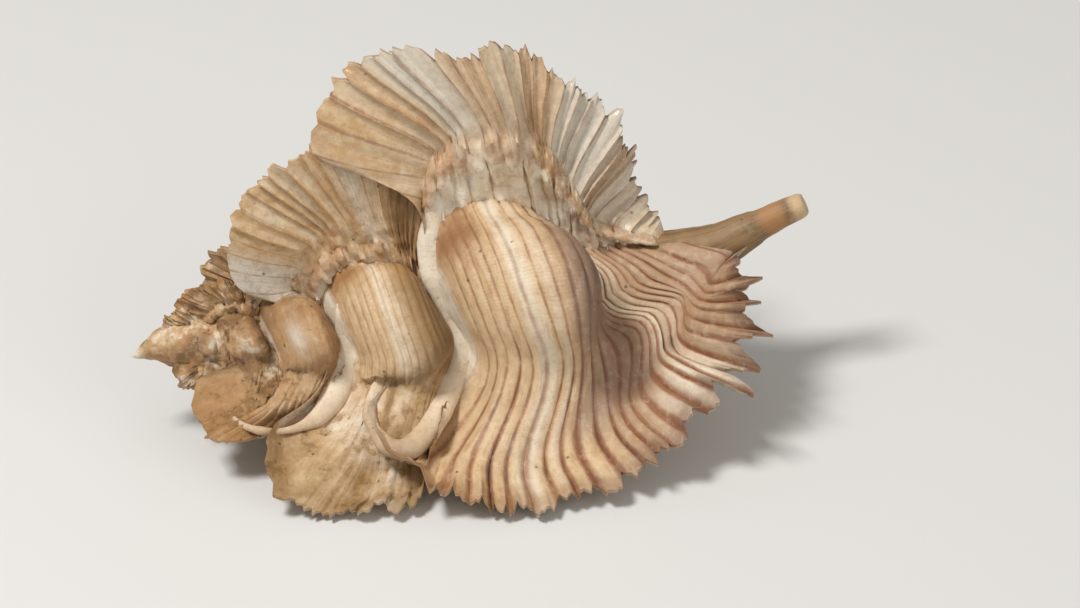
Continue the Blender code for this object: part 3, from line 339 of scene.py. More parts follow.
def stage_rows(stage, share, whorl_count, flare_shares, face_shares):
    """Rings of points of one stage: the whorl, its flare and the wing's front face. Also where they grew.

    The second array holds, for each point, the cord number, the growth stage, the share of the way out
    along the wing, and the side it is on. The third holds the flute that each share of the profile is on.
    """
    size = stage_scale(stage)
    back = STAGES - stage
    wing_angle = LIP_ANGLE - STEP_ANGLE * back
    table = curve_through(wing_table(stage), share)
    middle = table[:, :2]
    edge = table[:, 2:]
    cords = cord_number(share, stage)
    outward = edge - middle
    outward /= np.linalg.norm(outward, axis=1)[:, None]
    edge = edge + outward * edge_reach(stage, cords, share)[:, None]
    edge = edge + outward * ragged(stage, cords, share)[:, None]
    crest = np.abs(np.sin(np.pi * cords)) ** 0.55
    ridge = (crest - 0.72) * ease(share, 0.06, 0.10) * ease(share, 1.0, 0.97)
    flutes = cords - MORE_FLUTES.get(back, 3.5) * (1 - ease(share, 0.03, 0.12))
    off_ridge = np.abs(flutes - np.round(flutes))
    sharpness, mean = (0.32, 0.84) if back in FLAT_FLUTES else (0.55, 0.72)
    flute = np.abs(np.sin(np.pi * flutes)) ** sharpness - mean
    flute = flute * ease(share, 0.03, 0.05) * ease(share, 1.0, 0.97)
    faint = FAINT_CORDS.get(back, 1.0)
    cord_height = CORD_HEIGHT * size ** 0.8 * (1.0 if back < 5 else 0.5)
    flute_height = FLUTE_HEIGHT * size ** 0.6 * faint * (0.75 if back in FLAT_FLUTES else 1.0)
    soft = 0.45 + 0.55 * ease(cords, 8.0, 10.5)         # the cords are low on the knobs
    turn = (0.2 + 0.8 * ease(share, 0.03, 0.2))[:, None]
    rng = np.random.default_rng(FOLD_SEED + stage)
    if back == 0:
        fold = 2.2 * hump(share, 0.735, 0.035) - 1.4 * hump(share, 0.64, 0.05)
        fold -= 0.8 * hump(share, 0.84, 0.04)
    else:
        amount = rng.uniform(0.2, 0.7, 3) * FOLDED.get(back, 1.0)
        phase = rng.uniform(0, FULL_TURN, 3)
        waves = [np.sin(2 * np.pi * n * share + phase[i]) for i, n in enumerate((2, 3, 5))]
        fold = sum(amount[i] * size * waves[i] for i in range(3))
    lumps = 0.6 + 0.4 * np.sin(np.pi * cords * 1.37 + 1.0) * np.sin(np.pi * cords * 0.61)

    def across(f):
        """How far the wing's middle stands off its plane at share f of the way out, mm."""
        lap = LAP.get(back, 0.0) * (ease(share, 0.035, 0.07) if back == 0 else 1.0)
        behind = BEHIND.get(back, 0.0) * ease(share, 0.16, 0.08)
        tuck = TUCK.get(back, 0.0) * ease(share, 0.18, 0.28)
        off = LEAN.get(back, -size) * f ** 2
        off += lap * ease(share, 0.24, 0.04) * ease(f, 0.35, 0.9)
        off += fold * ease(f, 0.05, 0.5) * ease(share, 0.02, 0.12)
        off += behind * ease(f, 0.05, 0.3) * ease(f, 1.0, 0.85)
        off += tuck * ease(f, 0.46, 0.60) * ease(f, 1.0, 0.78)
        folded = ridge + (flute - ridge) * ease(f, 0.5, 0.75)
        return off - (0.45 + 0.55 * f) * flute_height * folded * ease(f, 0.2, 0.6)

    def ray(f, start):
        """Share f of the way out along every ray, by way of the middle line."""
        f = (f + np.zeros(len(share)))[:, None]
        t = np.clip(f / MIDDLE, 0, 1)
        pull = (edge - start) * turn
        near = smooth_between(t, start, 0.0, middle, pull * MIDDLE)
        t = np.clip((f - MIDDLE) / (1 - MIDDLE), 0, 1)
        far = smooth_between(t, middle, pull * (1 - MIDDLE), edge, edge - middle)
        return np.where(f < MIDDLE, near, far)

    def thickness(f):
        return (PLATE_ROOT + (PLATE_EDGE - PLATE_ROOT) * f) * size ** 0.5

    def core(delta, shift=0.0):
        scale = stage_scale(stage + delta / STEP_ANGLE)
        return round_axis(CORE[:, 0] * scale, CORE[:, 1] * scale, wing_angle + delta, shift)

    rows = []
    grown = []
    for delta in np.linspace(-OVERLAP_ANGLE, -FLARE_ANGLE, whorl_count, endpoint=False):
        p = lifted(whorl_profile(stage, share, delta), ridge * cord_height * soft)
        rows.append(np.concatenate([round_axis(p[:, 0], p[:, 1], wing_angle + delta), core(delta)]))
        grown.append((stage + delta / STEP_ANGLE, 0.0, ON_WHORL))
    for i, f in enumerate(flare_shares):
        closing = 1 - min(1.0, f / 0.6)
        late = LATE.get(back, 0.0) * ease(share, 0.46, 0.54) * ease(share, 0.86, 0.70)
        delta = -FLARE_ANGLE * closing ** (2.2 + 5.0 * ease(share, 0.16, 0.03) + 2.6 * late)
        p = ray(f * (1 + late * (ease(f, 0.0, 0.32) - 1)), whorl_profile(stage, share, delta))
        bow = BOW.get(back, 0.0) * ease(share, 0.45, 0.55) * ease(share, 0.90, 0.78)
        p[:, 0] += bow * hump(f, 0.20, 0.12)
        height = cord_height * (1 + (faint - 1) * ease(f, 0.0, 0.3))
        lift = ridge * height * (soft + (1 - soft) * ease(f, 0.0, 0.3)) * (1 - ease(f, 0.2, 0.6))
        p = lifted(p, lift - NECK.get(back, 0.0) * hump(f, 0.28, 0.10, 4.0) * hump(share, 0.16, 0.12, 4.0))
        off = across(f) * ease(f, 0.1, 0.5) - thickness(f) / 2 * ease(f, 0.2, 0.6)
        off -= BULGE.get(back, 0.0) * hump(f, 0.24, 0.12) * hump(share, 0.60, 0.10, 4.0)
        inner_delta = -FLARE_ANGLE * closing ** 2.2
        rows.append(np.concatenate([round_axis(p[:, 0], p[:, 1], wing_angle + delta, off),
                                    core(inner_delta, 0.02 * i)]))
        grown.append((stage + inner_delta / STEP_ANGLE, f, ON_FLARE))
    throat = whorl_profile(stage, share, 0.0) * np.array([1.0, 0.7])
    collar_at = COLLAR.get(back, PLAIN_COLLAR)
    inner_line = throat + (middle - throat) * 0.5
    steps = np.linalg.norm(np.diff(inner_line, axis=0), axis=1)
    leaves = np.concatenate([[0.0], np.cumsum(steps)]) / (1.25 * size ** 0.7)
    leaves = leaves + 0.35 * np.sin(leaves * 1.9) + 0.2 * np.sin(leaves * 3.1 + 1.0)
    notch = rng.uniform(-0.03, 0.03, DRAWS)[np.floor(leaves * 1.3).astype(int) % DRAWS]
    for i, f in enumerate(face_shares):
        if f >= MIDDLE:
            p = ray(f, whorl_profile(stage, share, 0.0))
        else:
            p = throat + (middle - throat) * f / MIDDLE
        off = across(f) + thickness(f) / 2
        # the collar, a crinkled step down to the flutes, with thin leaves inside it
        step = collar_at + 0.02 * (lumps - 0.6) + notch
        collar = (0.9 + 0.9 * lumps) * ease(f, step + 0.035, step - 0.01) * ease(f, step - 0.17, step - 0.05)
        inside = ease(f, collar_at - 0.02, collar_at - 0.08) * ease(f, 0.02, 0.10)
        collar += 0.3 * np.sin(np.pi * leaves) * inside
        sharp = 0.4 * hump(off_ridge, 0.0, 0.13) * ease(f, collar_at + 0.02, collar_at + 0.12)
        collar += sharp * size ** -0.1 * ease(share, 0.03, 0.06)
        off += collar * size ** 0.7 * ease(share, 0.02, 0.12) * (0.3 if back in LOW_COLLAR else 1.0)
        inner = core(0.0, 0.02 * (len(flare_shares) + i + 1) + 0.05)
        rows.append(np.concatenate([round_axis(p[:, 0], p[:, 1], wing_angle, off), inner]))
        grown.append((stage, f, ON_FACE))
    rows = bent(np.array(rows))
    where = np.empty(rows.shape[:2] + (4,))
    where[..., 0] = -3.0                                # on no cord, on the way back along the axis
    where[:, :len(share), 0] = cords
    where[..., 1:] = np.array(grown)[:, None, :]
    return rows, where, flutes


def tones(back, where):
    """How pale, lined, stained and crusted the surface is, each 0 to 1, from where it grew, with painted
    shade among the lines and stains.
    """
    cord, growth, f, side = np.moveaxis(where, -1, 0)
    face = side == ON_FACE
    ramp = ease(cord, 0.4, -0.2)
    wing = ease(growth + back, 14.8, 15.0)
    collar_at = COLLAR.get(back, PLAIN_COLLAR)

    # outside: pale bands over the knob and the lowest lobes, brown lines, brown with painted shade beside the
    # knob
    grown = growth + back               # as if it were the last stage
    pale = 0.6 * hump(cord, 6.1, 0.45) + 0.4 * hump(cord, 7.6, 0.35)
    pale += 0.6 * wing * hump(cord, 16.8, 2.8, 4.0) * ease(f, 0.42, 0.62)
    lined = 0.72 + 0.15 * wing + 0.3 * ease(cord, 8.0, 10.0) - 0.3 * hump(cord, 6.1, 0.5)
    lined += 0.4 * hump(cord, 17.0, 3.0) * hump(grown, 14.80, 0.12)
    knob_flank_brown_and_shade = hump(cord, 11.6, 3.4, 4.0) * hump(grown, 14.50, 0.34, 4.0)
    patch = hump(cord, 2.2, 2.6, 4.0) * hump(grown, 14.14, 0.16)
    lobes = 0.5 * hump(cord, 10.0, 3.5) * wing * ease(f, 0.7, 0.3)
    stained_and_shaded = 0.85 * knob_flank_brown_and_shade + 0.95 * patch + lobes + 0.5 * wing * ease(f, 0.72, 0.97)
    if back == 0:
        # painted shade, dark brown, in the valley between the outer lip and the knob before it
        valley_shade = hump(cord, 15.8, 2.8, 4.0) * hump(f, 0.36, 0.08)
        valley_shade += 0.6 * hump(cord, 10.0, 3.0) * hump(f, 0.30, 0.1)
        lined += 0.5 * valley_shade
        stained_and_shaded += 0.15 * wing * ease(cord, 18.0, 22.0) + 0.4 * valley_shade
    if back == 3:
        # the smooth pale flare above it, with a tongue below the knob: a painted shadow under the knob's
        # step, and painted shade with some dirt in the brown grooves round the tongue
        lined = lined * (0.8 - 0.55 * ease(f, 0.05, 0.35))
        pale = pale * 0.7 + 0.35 * hump(cord, 7.4, 1.4) * ease(grown, 14.4, 14.7)
        stained_and_shaded = stained_and_shaded * (1 - wing) + 0.45 * ease(f, 0.4, 0.7) * (1 - 0.6 * hump(cord, 7.2, 1.2)) * wing
        pale += 0.7 * hump(cord, 3.0, 3.5, 4.0) * wing * ease(f, 0.62, 0.42)
        pale += 0.5 * hump(cord, 8.2, 1.2) * wing
        # brown with painted shade on the canal side of the knob, and darker towards the flare's edge
        stained_and_shaded += 0.5 * hump(cord, 11.0, 3.0) * (1 - wing) + 0.3 * wing * ease(f, 0.75, 0.95)
        shadow_below_knob = 0.9 * hump(f, 0.17, 0.05) * hump(cord, 5.5, 3.6, 4.0)
        groove_shade_and_dirt = hump(f, 0.42, 0.05) * hump(cord, 7.4, 1.9, 4.0)
        groove_shade_and_dirt += hump(f, 0.32, 0.11, 4.0) * hump(cord, 5.5, 0.4)
        stained_and_shaded += (shadow_below_knob + 1.2 * groove_shade_and_dirt) * (side >= ON_FLARE)
    if back > 5:
        # the small whorls of the spire, pearly on the knobs
        lined = lined * 0.3
        pearl = hump(cord, 5.4, 2.0) * hump(grown, 14.56, 0.13)
        pale = pearl + 0.1 * wing
        ramp = ramp * (1 - 0.8 * wing)
        stained_and_shaded = 0.55 * (1 - pearl) * (1 - wing) + 0.15 + wing * (0.35 + 0.35 * ease(f, 0.45, 0.8))

    # front face: white leaves inside a pink and tan collar, then tinted flutes, with a painted shadow where
    # it meets the whorl after it and painted shade beside the flutes' ridges
    inside = ease(f, collar_at - 0.03, collar_at - 0.09)
    on_collar = hump(f, collar_at - 0.01, 0.06, 4.0)
    pale_face = inside * ease(f, 0.04, 0.12)
    face_stain_and_shade = 0.5 * ease(f, 0.10, 0.04) + 0.3 * on_collar
    face_ridge_shade = 0.35 * np.ones_like(f)
    outer = ease(f, collar_at, collar_at + 0.06)
    if back == 1:
        white = hump(cord, 5.6, 1.3, 4.0) + hump(cord, 17.2, 2.4, 6.0) + 0.6 * hump(cord, 22.5, 1.5)
        pale_face += 0.95 * white * outer
    if back == 4:
        pale_face += (0.95 * ease(cord, 0.7, 0.1) + 0.6 * hump(cord, 9.8, 1.2)) * outer
        olive = hump(cord, 15.5, 3.4, 4.0)
        face_stain_and_shade += 0.75 * olive * outer
        # more painted shade beside the ridges of the olive flutes
        face_ridge_shade += 0.5 * olive

    pale = np.where(face, pale_face, np.maximum(pale * (1 - ramp), ramp))
    lined = np.where(face, face_ridge_shade, lined * (1 - ramp))
    stained_and_shaded = np.where(face, face_stain_and_shade, stained_and_shaded * (1 - ramp))
    crusted = ease(growth, 9.2, 7.4)
    return np.clip(np.stack([pale, lined, stained_and_shaded, crusted], axis=-1), 0, 1)


def in_scene(name, data):
    """A new object in the scene."""
    made = bpy.data.objects.new(name, data)
    bpy.context.scene.collection.objects.link(made)
    return made


def read(items, key, width, kind=float):
    """One property of every item, a row for each."""
    values = np.empty(len(items) * width, dtype=kind)
    items.foreach_get(key, values)
    return values.reshape(-1, width)


def corner_points(mesh):
    """The number of the point at each corner of each face."""
    return read(mesh.loops, "vertex_index", 1, np.int32)[:, 0]


def new_object(name, points, faces, where, tone=None):
    """A mesh object in metres, with where each corner grew and its tones in four maps."""
    tone = np.zeros(where.shape) if tone is None else tone
    mesh = bpy.data.meshes.new(name)
    mesh.from_pydata((np.asarray(points).reshape(-1, 3) * 0.001).tolist(), [], faces)
    mesh.update()
    corners = corner_points(mesh)
    held = np.concatenate([where.reshape(-1, 4), tone.reshape(-1, 4)], axis=1)[corners].astype(np.float32)
    # the last map holds stains with painted shade, and crust
    for i, layer in enumerate(("cords", "wing", "tone", "wear")):
        mesh.uv_layers.new(name=layer).uv.foreach_set("vector", held[:, 2 * i:2 * i + 2].reshape(-1))
    return in_scene(name, mesh)


def between_rings(numbers):
    """Quads between rings of point numbers, each ring closed on itself."""
    after = np.roll(numbers, -1, axis=1)
    return np.stack([numbers[:-1], numbers[1:], after[1:], after[:-1]], axis=-1).reshape(-1, 4).tolist()


def tube_faces(rings, sides):
    """Quads along a tube of rings, facing out, and a face across each end."""
    numbers = np.arange(rings * sides).reshape(rings, sides)
    faces = [f[::-1] for f in between_rings(numbers)]
    return faces + [numbers[0][::-1].tolist(), numbers[-1].tolist()]


def zipped(a, b):
    """Triangles between two runs of points that share their end points."""
    faces = []
    i = 0
    j = 0
    while i < len(a) - 1 or j < len(b) - 1:
        if j == len(b) - 1 or (i < len(a) - 1 and (i + 1) * (len(b) - 1) <= (j + 1) * (len(a) - 1)):
            faces.append((a[i], a[i + 1], b[j]))
            i += 1
        else:
            faces.append((a[i], b[j + 1], b[j]))
            j += 1
    return [f for f in faces if len(set(f)) == 3]


def stage_object(stage):
    """One stage as a closed solid: rings joined by quads, and its two ends closed across."""
    size = stage_scale(stage)
    share = np.linspace(0, 1, int((50 + 190 * size ** 0.8) * FINE))
    count = [max(8, int(n * size ** 0.6 * FINE)) for n in (44, 44, 46)]
    flare_shares = np.linspace(0, 1, count[1])
    face_shares = 1 - ease_through(np.linspace(0, 1, count[2]))
    rows, where, flutes = stage_rows(stage, share, count[0], flare_shares, face_shares)
    tone = tones(STAGES - stage, where)
    where[-len(face_shares):, :len(share), 0] = flutes
    numbers = np.arange(rows.shape[0] * rows.shape[1]).reshape(rows.shape[:2])
    faces = between_rings(numbers)
    for ring, turned in ((numbers[0].tolist(), False), (numbers[-1].tolist(), True)):
        outer = ring[:len(share)]
        inner = [outer[0]] + ring[len(share):][::-1] + [outer[-1]]
        cap = zipped(outer, inner)
        faces += [f[::-1] for f in cap] if turned else cap
    return new_object(f"stage_{stage}", rows, faces, where, tone)


def ease_through(t):
    """0 to 1, slower round the collar, where the front face needs more rows."""
    slow = t + 0.10 * np.sin(2 * np.pi * (t - 0.1)) + 0.10 * math.sin(2 * math.pi * 0.1)
    return (slow - slow[0]) / (slow[-1] - slow[0])


def rod(name, middle, radius, sides, beside=(0.0, 1.0, 0.0), flat=1.0):
    """A closed rod along a line of points; its share along the line goes into the wing map."""
    middle = np.asarray(middle, float)
    run = np.gradient(middle, axis=0)
    run /= np.linalg.norm(run, axis=1)[:, None]
    u = np.cross(run, np.array(beside))
    u /= np.linalg.norm(u, axis=1)[:, None]
    w = np.cross(run, u)
    turn = np.linspace(0, 2 * np.pi, sides, endpoint=False)[None, :, None]
    rings = middle[:, None, :] + np.asarray(radius)[:, None, None] * (
        np.cos(turn) * u[:, None, :] + flat * np.sin(turn) * w[:, None, :])
    along = np.linspace(0, 1, len(middle))[:, None] * np.ones((1, sides))
    round_it = turn[0, :, 0]
    # numbers that no whorl has, so that threads run along the rod
    cord = 3.0 * np.cos(round_it) - 8.0
    growth = np.sin(round_it) + STAGES + 2.0
    where = np.stack(np.broadcast_arrays(cord, growth, along, float(ON_ROD)), axis=-1)
    tone = np.zeros(where.shape)
    if name == "pillar":
        tone[..., 3] = 1.0
    if name.endswith("rim"):
        where = np.stack([0 * along - 1.0, 14.0 + along, 0 * along, 0 * along], axis=-1)
        tone[..., 0] = 0.95 - 0.6 * ease(along, 0.45, 0.65)
        tone[..., 2] = 0.35 * ease(along, 0.55, 0.8)
    return new_object(name, rings, tube_faces(len(middle), sides), where, tone)


def ramp_rim(name, table, count, sides):
    """The rim of a ramp, along the line in its table."""
    line = curve_through(table, np.linspace(0, 1, count))
    return rod(name, line[:, :3], line[:, 3], sides, (0.0, 0.0, 1.0), 0.6)


def mouth_loop(delta, count):
    """The mouth's egg-shaped outline, narrow towards the canal, wider inside where the knob is."""
    turn = np.linspace(0, 2 * np.pi, count, endpoint=False)[::-1]
    narrow = ease(-delta, 3, 16)
    along = 50.6 + 8.0 * np.cos(turn) - 2.3 * narrow * np.maximum(0, np.cos(turn))
    radius = 8.2 - 0.28 * np.maximum(0, along - 50.6) + (4.1 - 0.5 * narrow) * np.sin(turn)
    radius = radius + np.maximum(0, np.sin(turn)) * 3.4 * hump(delta, -66, 34, 2.6)
    return np.stack([along, radius], axis=1)


def in_mouth(shape, f):
    """Where the mouth's points grew: on no cord and past the last stage, share f of the way out."""
    return np.tile((-9.0, STAGES + 1.0, f, IN_MOUTH), shape + (1,))


def mouth_hollow(count, sections):
    """The space behind the mouth, followed back round the axis."""
    rows = []
    for delta in np.concatenate([[14.0, 7.0], np.linspace(0, -150, sections)]):
        scale = stage_scale(STAGES + min(delta, 0.0) / STEP_ANGLE)
        p = mouth_loop(min(delta, 0.0), count)
        centre = p.mean(axis=0)
        p = centre + (p - centre) * (1 - 0.7 * ease(-delta, 95, 150) + 0.012 * max(delta, 0.0))
        rows.append(round_axis(p[:, 0] * scale, p[:, 1] * scale, LIP_ANGLE + delta))
    faces = tube_faces(len(rows), count)
    return new_object("hollow", bent(np.array(rows)), faces, in_mouth((len(rows), count), 0.0))


def mouth_rim(count, sides):
    """The raised rim round the mouth."""
    loop = mouth_loop(0.0, count) * stage_scale(STAGES)
    run = np.roll(loop, -1, axis=0) - np.roll(loop, 1, axis=0)
    normal = np.stack([-run[:, 1], run[:, 0]], axis=1)
    normal /= np.linalg.norm(normal, axis=1)[:, None]
    turn = np.linspace(0, 2 * np.pi, sides, endpoint=False)
    out = 1.2 * np.cos(turn)
    along = loop[:, None, 0] + out * normal[:, None, 0]
    radius = loop[:, None, 1] + out * normal[:, None, 1]
    across = 1.0 + 1.2 * np.sin(turn) + 0 * along
    points = bent(round_axis(along, radius, LIP_ANGLE, across))
    numbers = np.arange(count * sides).reshape(count, sides)
    numbers = np.concatenate([numbers, numbers[:1]])
    after = np.roll(numbers, -1, axis=1)
    faces = np.stack([numbers[:-1], after[:-1], after[1:], numbers[1:]], axis=-1).reshape(-1, 4).tolist()
    return new_object("mouth_rim", points, faces, in_mouth((count, sides), 0.6))


def combine(base, other, operation):
    """One Boolean step. The exact solver loses most of the stages here, so this is the manifold one."""
    step = base.modifiers.new(other.name, "BOOLEAN")
    step.operation = operation
    step.solver = "MANIFOLD"
    step.object = other


def evaluated(made):
    graph = bpy.context.evaluated_depsgraph_get()
    return bpy.data.meshes.new_from_object(made.evaluated_get(graph))


def keep_largest_body(mesh):
    """Drop the small closed pockets left where stages meet inside the shell."""
    bm = bmesh.new()
    bm.from_mesh(mesh)
    unseen = set(bm.verts)
    bodies = []
    while unseen:
        body = {unseen.pop()}
        edge_of_body = list(body)
        while edge_of_body:
            vert = edge_of_body.pop()
            for link in vert.link_edges:
                other = link.other_vert(vert)
                if other in unseen:
                    unseen.discard(other)
                    body.add(other)
                    edge_of_body.append(other)
        bodies.append(body)
    bodies.sort(key=len)
    for body in bodies[:-1]:
        bmesh.ops.delete(bm, geom=list(body), context="VERTS")
    bm.to_mesh(mesh)
    bm.free()
    mesh.update()


def roughened(mesh):
    """Crust on the worn spire, crinkled leaves inside the collars, and faint unevenness everywhere.

    The points are moved out along the surface's normals.
    """
    place = read(mesh.vertices, "co", 3)
    normal = read(mesh.vertices, "normal", 3)
    corners = corner_points(mesh)
    cord, f, side, crusted = (read(mesh.uv_layers[layer].uv, "vector", 2, np.float32)[:, i]
                              for layer, i in (("cords", 0), ("wing", 0), ("wing", 1), ("wear", 1)))
    crust, ramp, leafy, out = np.zeros((4, len(place)))
    crust[corners] = crusted
    ramp[corners] = (cord < -0.3) * (side < ON_FACE - 0.5) * (f < 0.3)
    leafy[corners] = (np.abs(side - ON_FACE) < 0.2) * ease(f, 0.04, 0.12) * ease(f, 0.50, 0.42)
    for i, p in enumerate((place * 1000.0).tolist()):
        at = Vector(p)
        out[i] = 0.05 * noise.noise(at * 0.9) + 0.28 * ramp[i] * noise.noise(at * 0.33)
        if leafy[i] > 0.02:
            fold = 0.5 - 1.6 * abs(noise.noise(at * 0.42)) + 0.3 * noise.noise(at * 0.9)
            out[i] += 0.5 * leafy[i] * fold
        if crust[i] > 0.02:
            lump = noise.fractal(at * 0.55, 1.0, 2.0, 3)
            out[i] += crust[i] * min(1.0, 0.15 + 0.14 * p[0]) * (0.30 + 0.55 * lump)
    place += normal * (out * 0.001)[:, None]
    mesh.vertices.foreach_set("co", place.reshape(-1))
    mesh.update()


def laid_down(mesh):
    """Turn the mesh so that DOWN points down, and lay it in the place of the solid it stands for."""
    up = -Vector(DOWN).normalized()
    ahead = (Vector((1.0, 0.0, 0.0)) - up * up.x).normalized()
    turn = Matrix((ahead, up.cross(ahead), up)).to_4x4()
    mesh.transform(turn)
    low = [min(v.co[i] for v in mesh.vertices) for i in range(3)]
    high = [max(v.co[i] for v in mesh.vertices) for i in range(3)]
    solid_low, solid_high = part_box("shell")
    shift = [(solid_low[i] + solid_high[i] - low[i] - high[i]) / 2 for i in range(2)]
    move = Matrix.Translation((shift[0], shift[1], -low[2] - WORN))
    mesh.transform(move)
    return move @ turn


def ground_block():
    """Everything below the ground, as a cutter with the maps that the shell has."""
    size = 0.1
    points = [(x, y, z) for z in (-2 * size, 0.0) for y in (-size, size) for x in (-size, size)]
    faces = [(0, 2, 3, 1), (4, 5, 7, 6), (0, 1, 5, 4), (2, 6, 7, 3), (0, 4, 6, 2), (1, 3, 7, 5)]
    where = np.tile((3.0, STAGES, 1.0, ON_FLARE), (8, 1))
    return new_object("ground", np.array(points) * 1000, faces, where, np.tile((0.3, 0, 0, 0), (8, 1)))


def grown_shell():
    """The whole shell as one closed mesh in the row's frame, and the transform that laid it there."""
    pieces = [stage_object(stage) for stage in range(STAGES, 0, -1)]
    along = np.concatenate([np.linspace(48.0, 66.0, 14), np.linspace(67.0, 85.2, 46), [85.45, 85.6]])
    beside, radius = (np.interp(along, CANAL[:, 0], CANAL[:, i]) for i in (1, 2))
    pieces.append(rod("canal", bent(np.stack([along, beside, 0 * along], axis=1)), radius, 32))
    along = np.concatenate([np.linspace(0.0, 16.0, 40), np.linspace(17.0, PILLAR_LENGTH, 20)])
    line = curve_through(PILLAR, along / PILLAR_LENGTH)
    pieces.append(rod("pillar", np.stack([along, line[:, 0], 0 * along], axis=1), line[:, 1], 28))
    pieces.append(ramp_rim("last_rim", LAST_RIM, 90, 14))
    pieces.append(ramp_rim("second_rim", SECOND_RIM, 70, 12))
    pieces.append(mouth_rim(60, 12))
    hollow = mouth_hollow(40, 28)
    base = pieces[0]
    for other in pieces[1:]:
        combine(base, other, "UNION")
    combine(base, hollow, "DIFFERENCE")
    whole = evaluated(base)
    for used in pieces + [hollow]:
        bpy.data.objects.remove(used)
    keep_largest_body(whole)
    roughened(whole)
    placed = laid_down(whole)
    rough = in_scene("rough", whole)
    ground = ground_block()
    combine(rough, ground, "DIFFERENCE")
    mesh = evaluated(rough)
    bpy.data.objects.remove(rough)
    bpy.data.objects.remove(ground)
    mesh.materials.clear()
    mesh.shade_smooth()
    mesh.set_sharp_from_angle(angle=math.radians(SHARP_ANGLE))
    return in_scene("shell_surface", mesh), placed


class Wire:
    """A shader socket that carries a number: sums written with it add their Math nodes."""

    def __init__(self, maker, socket):
        self.maker = maker
        self.socket = socket

    def sum(self, operation, *values):
        return self.maker.node("ShaderNodeMath", {"operation": operation}, *values)

    def taken(self, operation):
        """Its sine, floor or the like."""
        return self.sum(operation, self)

    def __add__(self, other):
        return self.sum("ADD", self, other)

    def __sub__(self, other):
        return self.sum("SUBTRACT", self, other)

    def __rsub__(self, other):
        return self.sum("SUBTRACT", other, self)

    def __mul__(self, other):
        return self.sum("MULTIPLY", self, other)

    __radd__ = __add__


class Finish:
    """A material's node tree, with one method that makes any node."""

    def __init__(self, name):
        self.material = bpy.data.materials.new(name)
        self.material.use_nodes = True
        self.tree = self.material.node_tree
        self.surface = self.tree.nodes["Principled BSDF"]

    def put(self, socket, value):
        if isinstance(value, Wire):
            self.tree.links.new(value.socket, socket)
        else:
            socket.default_value = value

    def node(self, kind, settings=None, *values, out=0, **named):
        """A node of this kind: its settings first, then its sockets in order, or by name."""
        made = self.tree.nodes.new(kind)
        for key, value in (settings or {}).items():
            if key == "stops":
                ramp = made.color_ramp.elements
                while len(ramp) < len(value):
                    ramp.new(1.0)
                for stop, (at, colour) in zip(ramp, value):
                    stop.position = at
                    stop.color = colour
            else:
                setattr(made, key, value)
        for socket, value in zip(made.inputs, values):
            if value is not None:
                self.put(socket, value)
        for key, value in named.items():
            self.put(made.inputs[key], value)
        return Wire(self, made.outputs[out])

    def map_pair(self, layer):
        """The two numbers that a map holds."""
        at = self.node("ShaderNodeUVMap", {"uv_map": layer})
        return [self.node("ShaderNodeSeparateXYZ", {}, at, out=i) for i in (0, 1)]

    def vector(self, x, y, z):
        return self.node("ShaderNodeCombineXYZ", {}, x, y, z)

    def between(self, value, low, high):
        """0 below low and 1 above high, eased."""
        settings = {"interpolation_type": "SMOOTHSTEP"}
        return self.node("ShaderNodeMapRange", settings, value, low, high, 0.0, 1.0)

    def layered(self, colour, *layers):
        """A colour with others laid over it one by one, each by its own factor."""
        skipped = [None] * 5        # the Mix node's sockets for plain numbers and vectors
        for factor, over in layers:
            settings = {"data_type": "RGBA", "blend_type": "MIX", "clamp_factor": True}
            colour = self.node("ShaderNodeMix", settings, factor, *skipped, colour, over, out=2)
        return colour

    def noise(self, at, scale, detail=3.0, roughness=0.6):
        settings = {"noise_dimensions": "3D", "normalize": True}
        sockets = {"Vector": at, "Scale": scale, "Detail": detail, "Roughness": roughness}
        return self.node("ShaderNodeTexNoise", settings, **sockets)

    def random_at(self, number, row):
        """A random number from 0 to 1 for each whole number."""
        return self.node("ShaderNodeTexWhiteNoise", {"noise_dimensions": "2D"}, self.vector(number, row, 0.0))


def tint(red, green, blue):
    """A colour written as it looks on a screen, 0 to 255, as the shader's linear values."""
    linear = []
    for part in (red, green, blue):
        c = part / 255
        linear.append(c / 12.92 if c <= 0.04045 else ((c + 0.055) / 1.055) ** 2.4)
    return (*linear, 1.0)


WHITE = tint(234, 224, 206)
IVORY = tint(220, 202, 172)
CREAM = tint(211, 180, 139)
BEIGE = tint(184, 150, 118)
TAN = tint(184, 140, 98)
OCHRE = tint(190, 132, 78)
BROWN = tint(146, 96, 64)
UMBER = tint(104, 70, 48)
PLUM = tint(122, 92, 78)
OLIVE = tint(150, 118, 76)
PINK = tint(200, 166, 142)
DULL_WHITE = tint(202, 193, 178)
FLUTE_TAN = tint(196, 164, 128)
FLUTE_PALE = tint(208, 190, 162)
FLUTE_HONEY = tint(190, 148, 92)
FLUTE_WARM = tint(194, 153, 102)
FLUTE_CREAM = tint(224, 204, 170)
BROAD_LINE = tint(160, 108, 74)
OLD_LINE = tint(158, 116, 68)
OLD_GOLD = tint(182, 142, 88)
OLD_STAIN = tint(168, 122, 72)
# brown for stains and for the painted shade beside the knobs
STAIN_AND_SHADE_BROWN = tint(150, 104, 64)
CRUST_BROWN = tint(136, 96, 58)
CRUST_TAN = tint(186, 150, 104)
CRUST_RUST = tint(168, 120, 72)
CRUST_PALE = tint(222, 204, 180)
CANAL_DARK = tint(108, 78, 46)
CANAL_BROWN = tint(146, 114, 74)
CANAL_GREY = tint(150, 134, 100)
BROWN_DUST = tint(140, 104, 66)
PALE_DUST = tint(232, 214, 184)
DIRT = tint(112, 84, 48)
SPECK = tint(66, 50, 30)

# The ground colour outside, by share of the cords.
BANDS = ((0.0, CREAM), (0.20, CREAM), (0.235, IVORY), (0.27, CREAM), (0.38, CREAM), (0.44, BEIGE),
         (0.56, BEIGE), (0.64, IVORY), (0.76, BEIGE), (1.0, BEIGE))


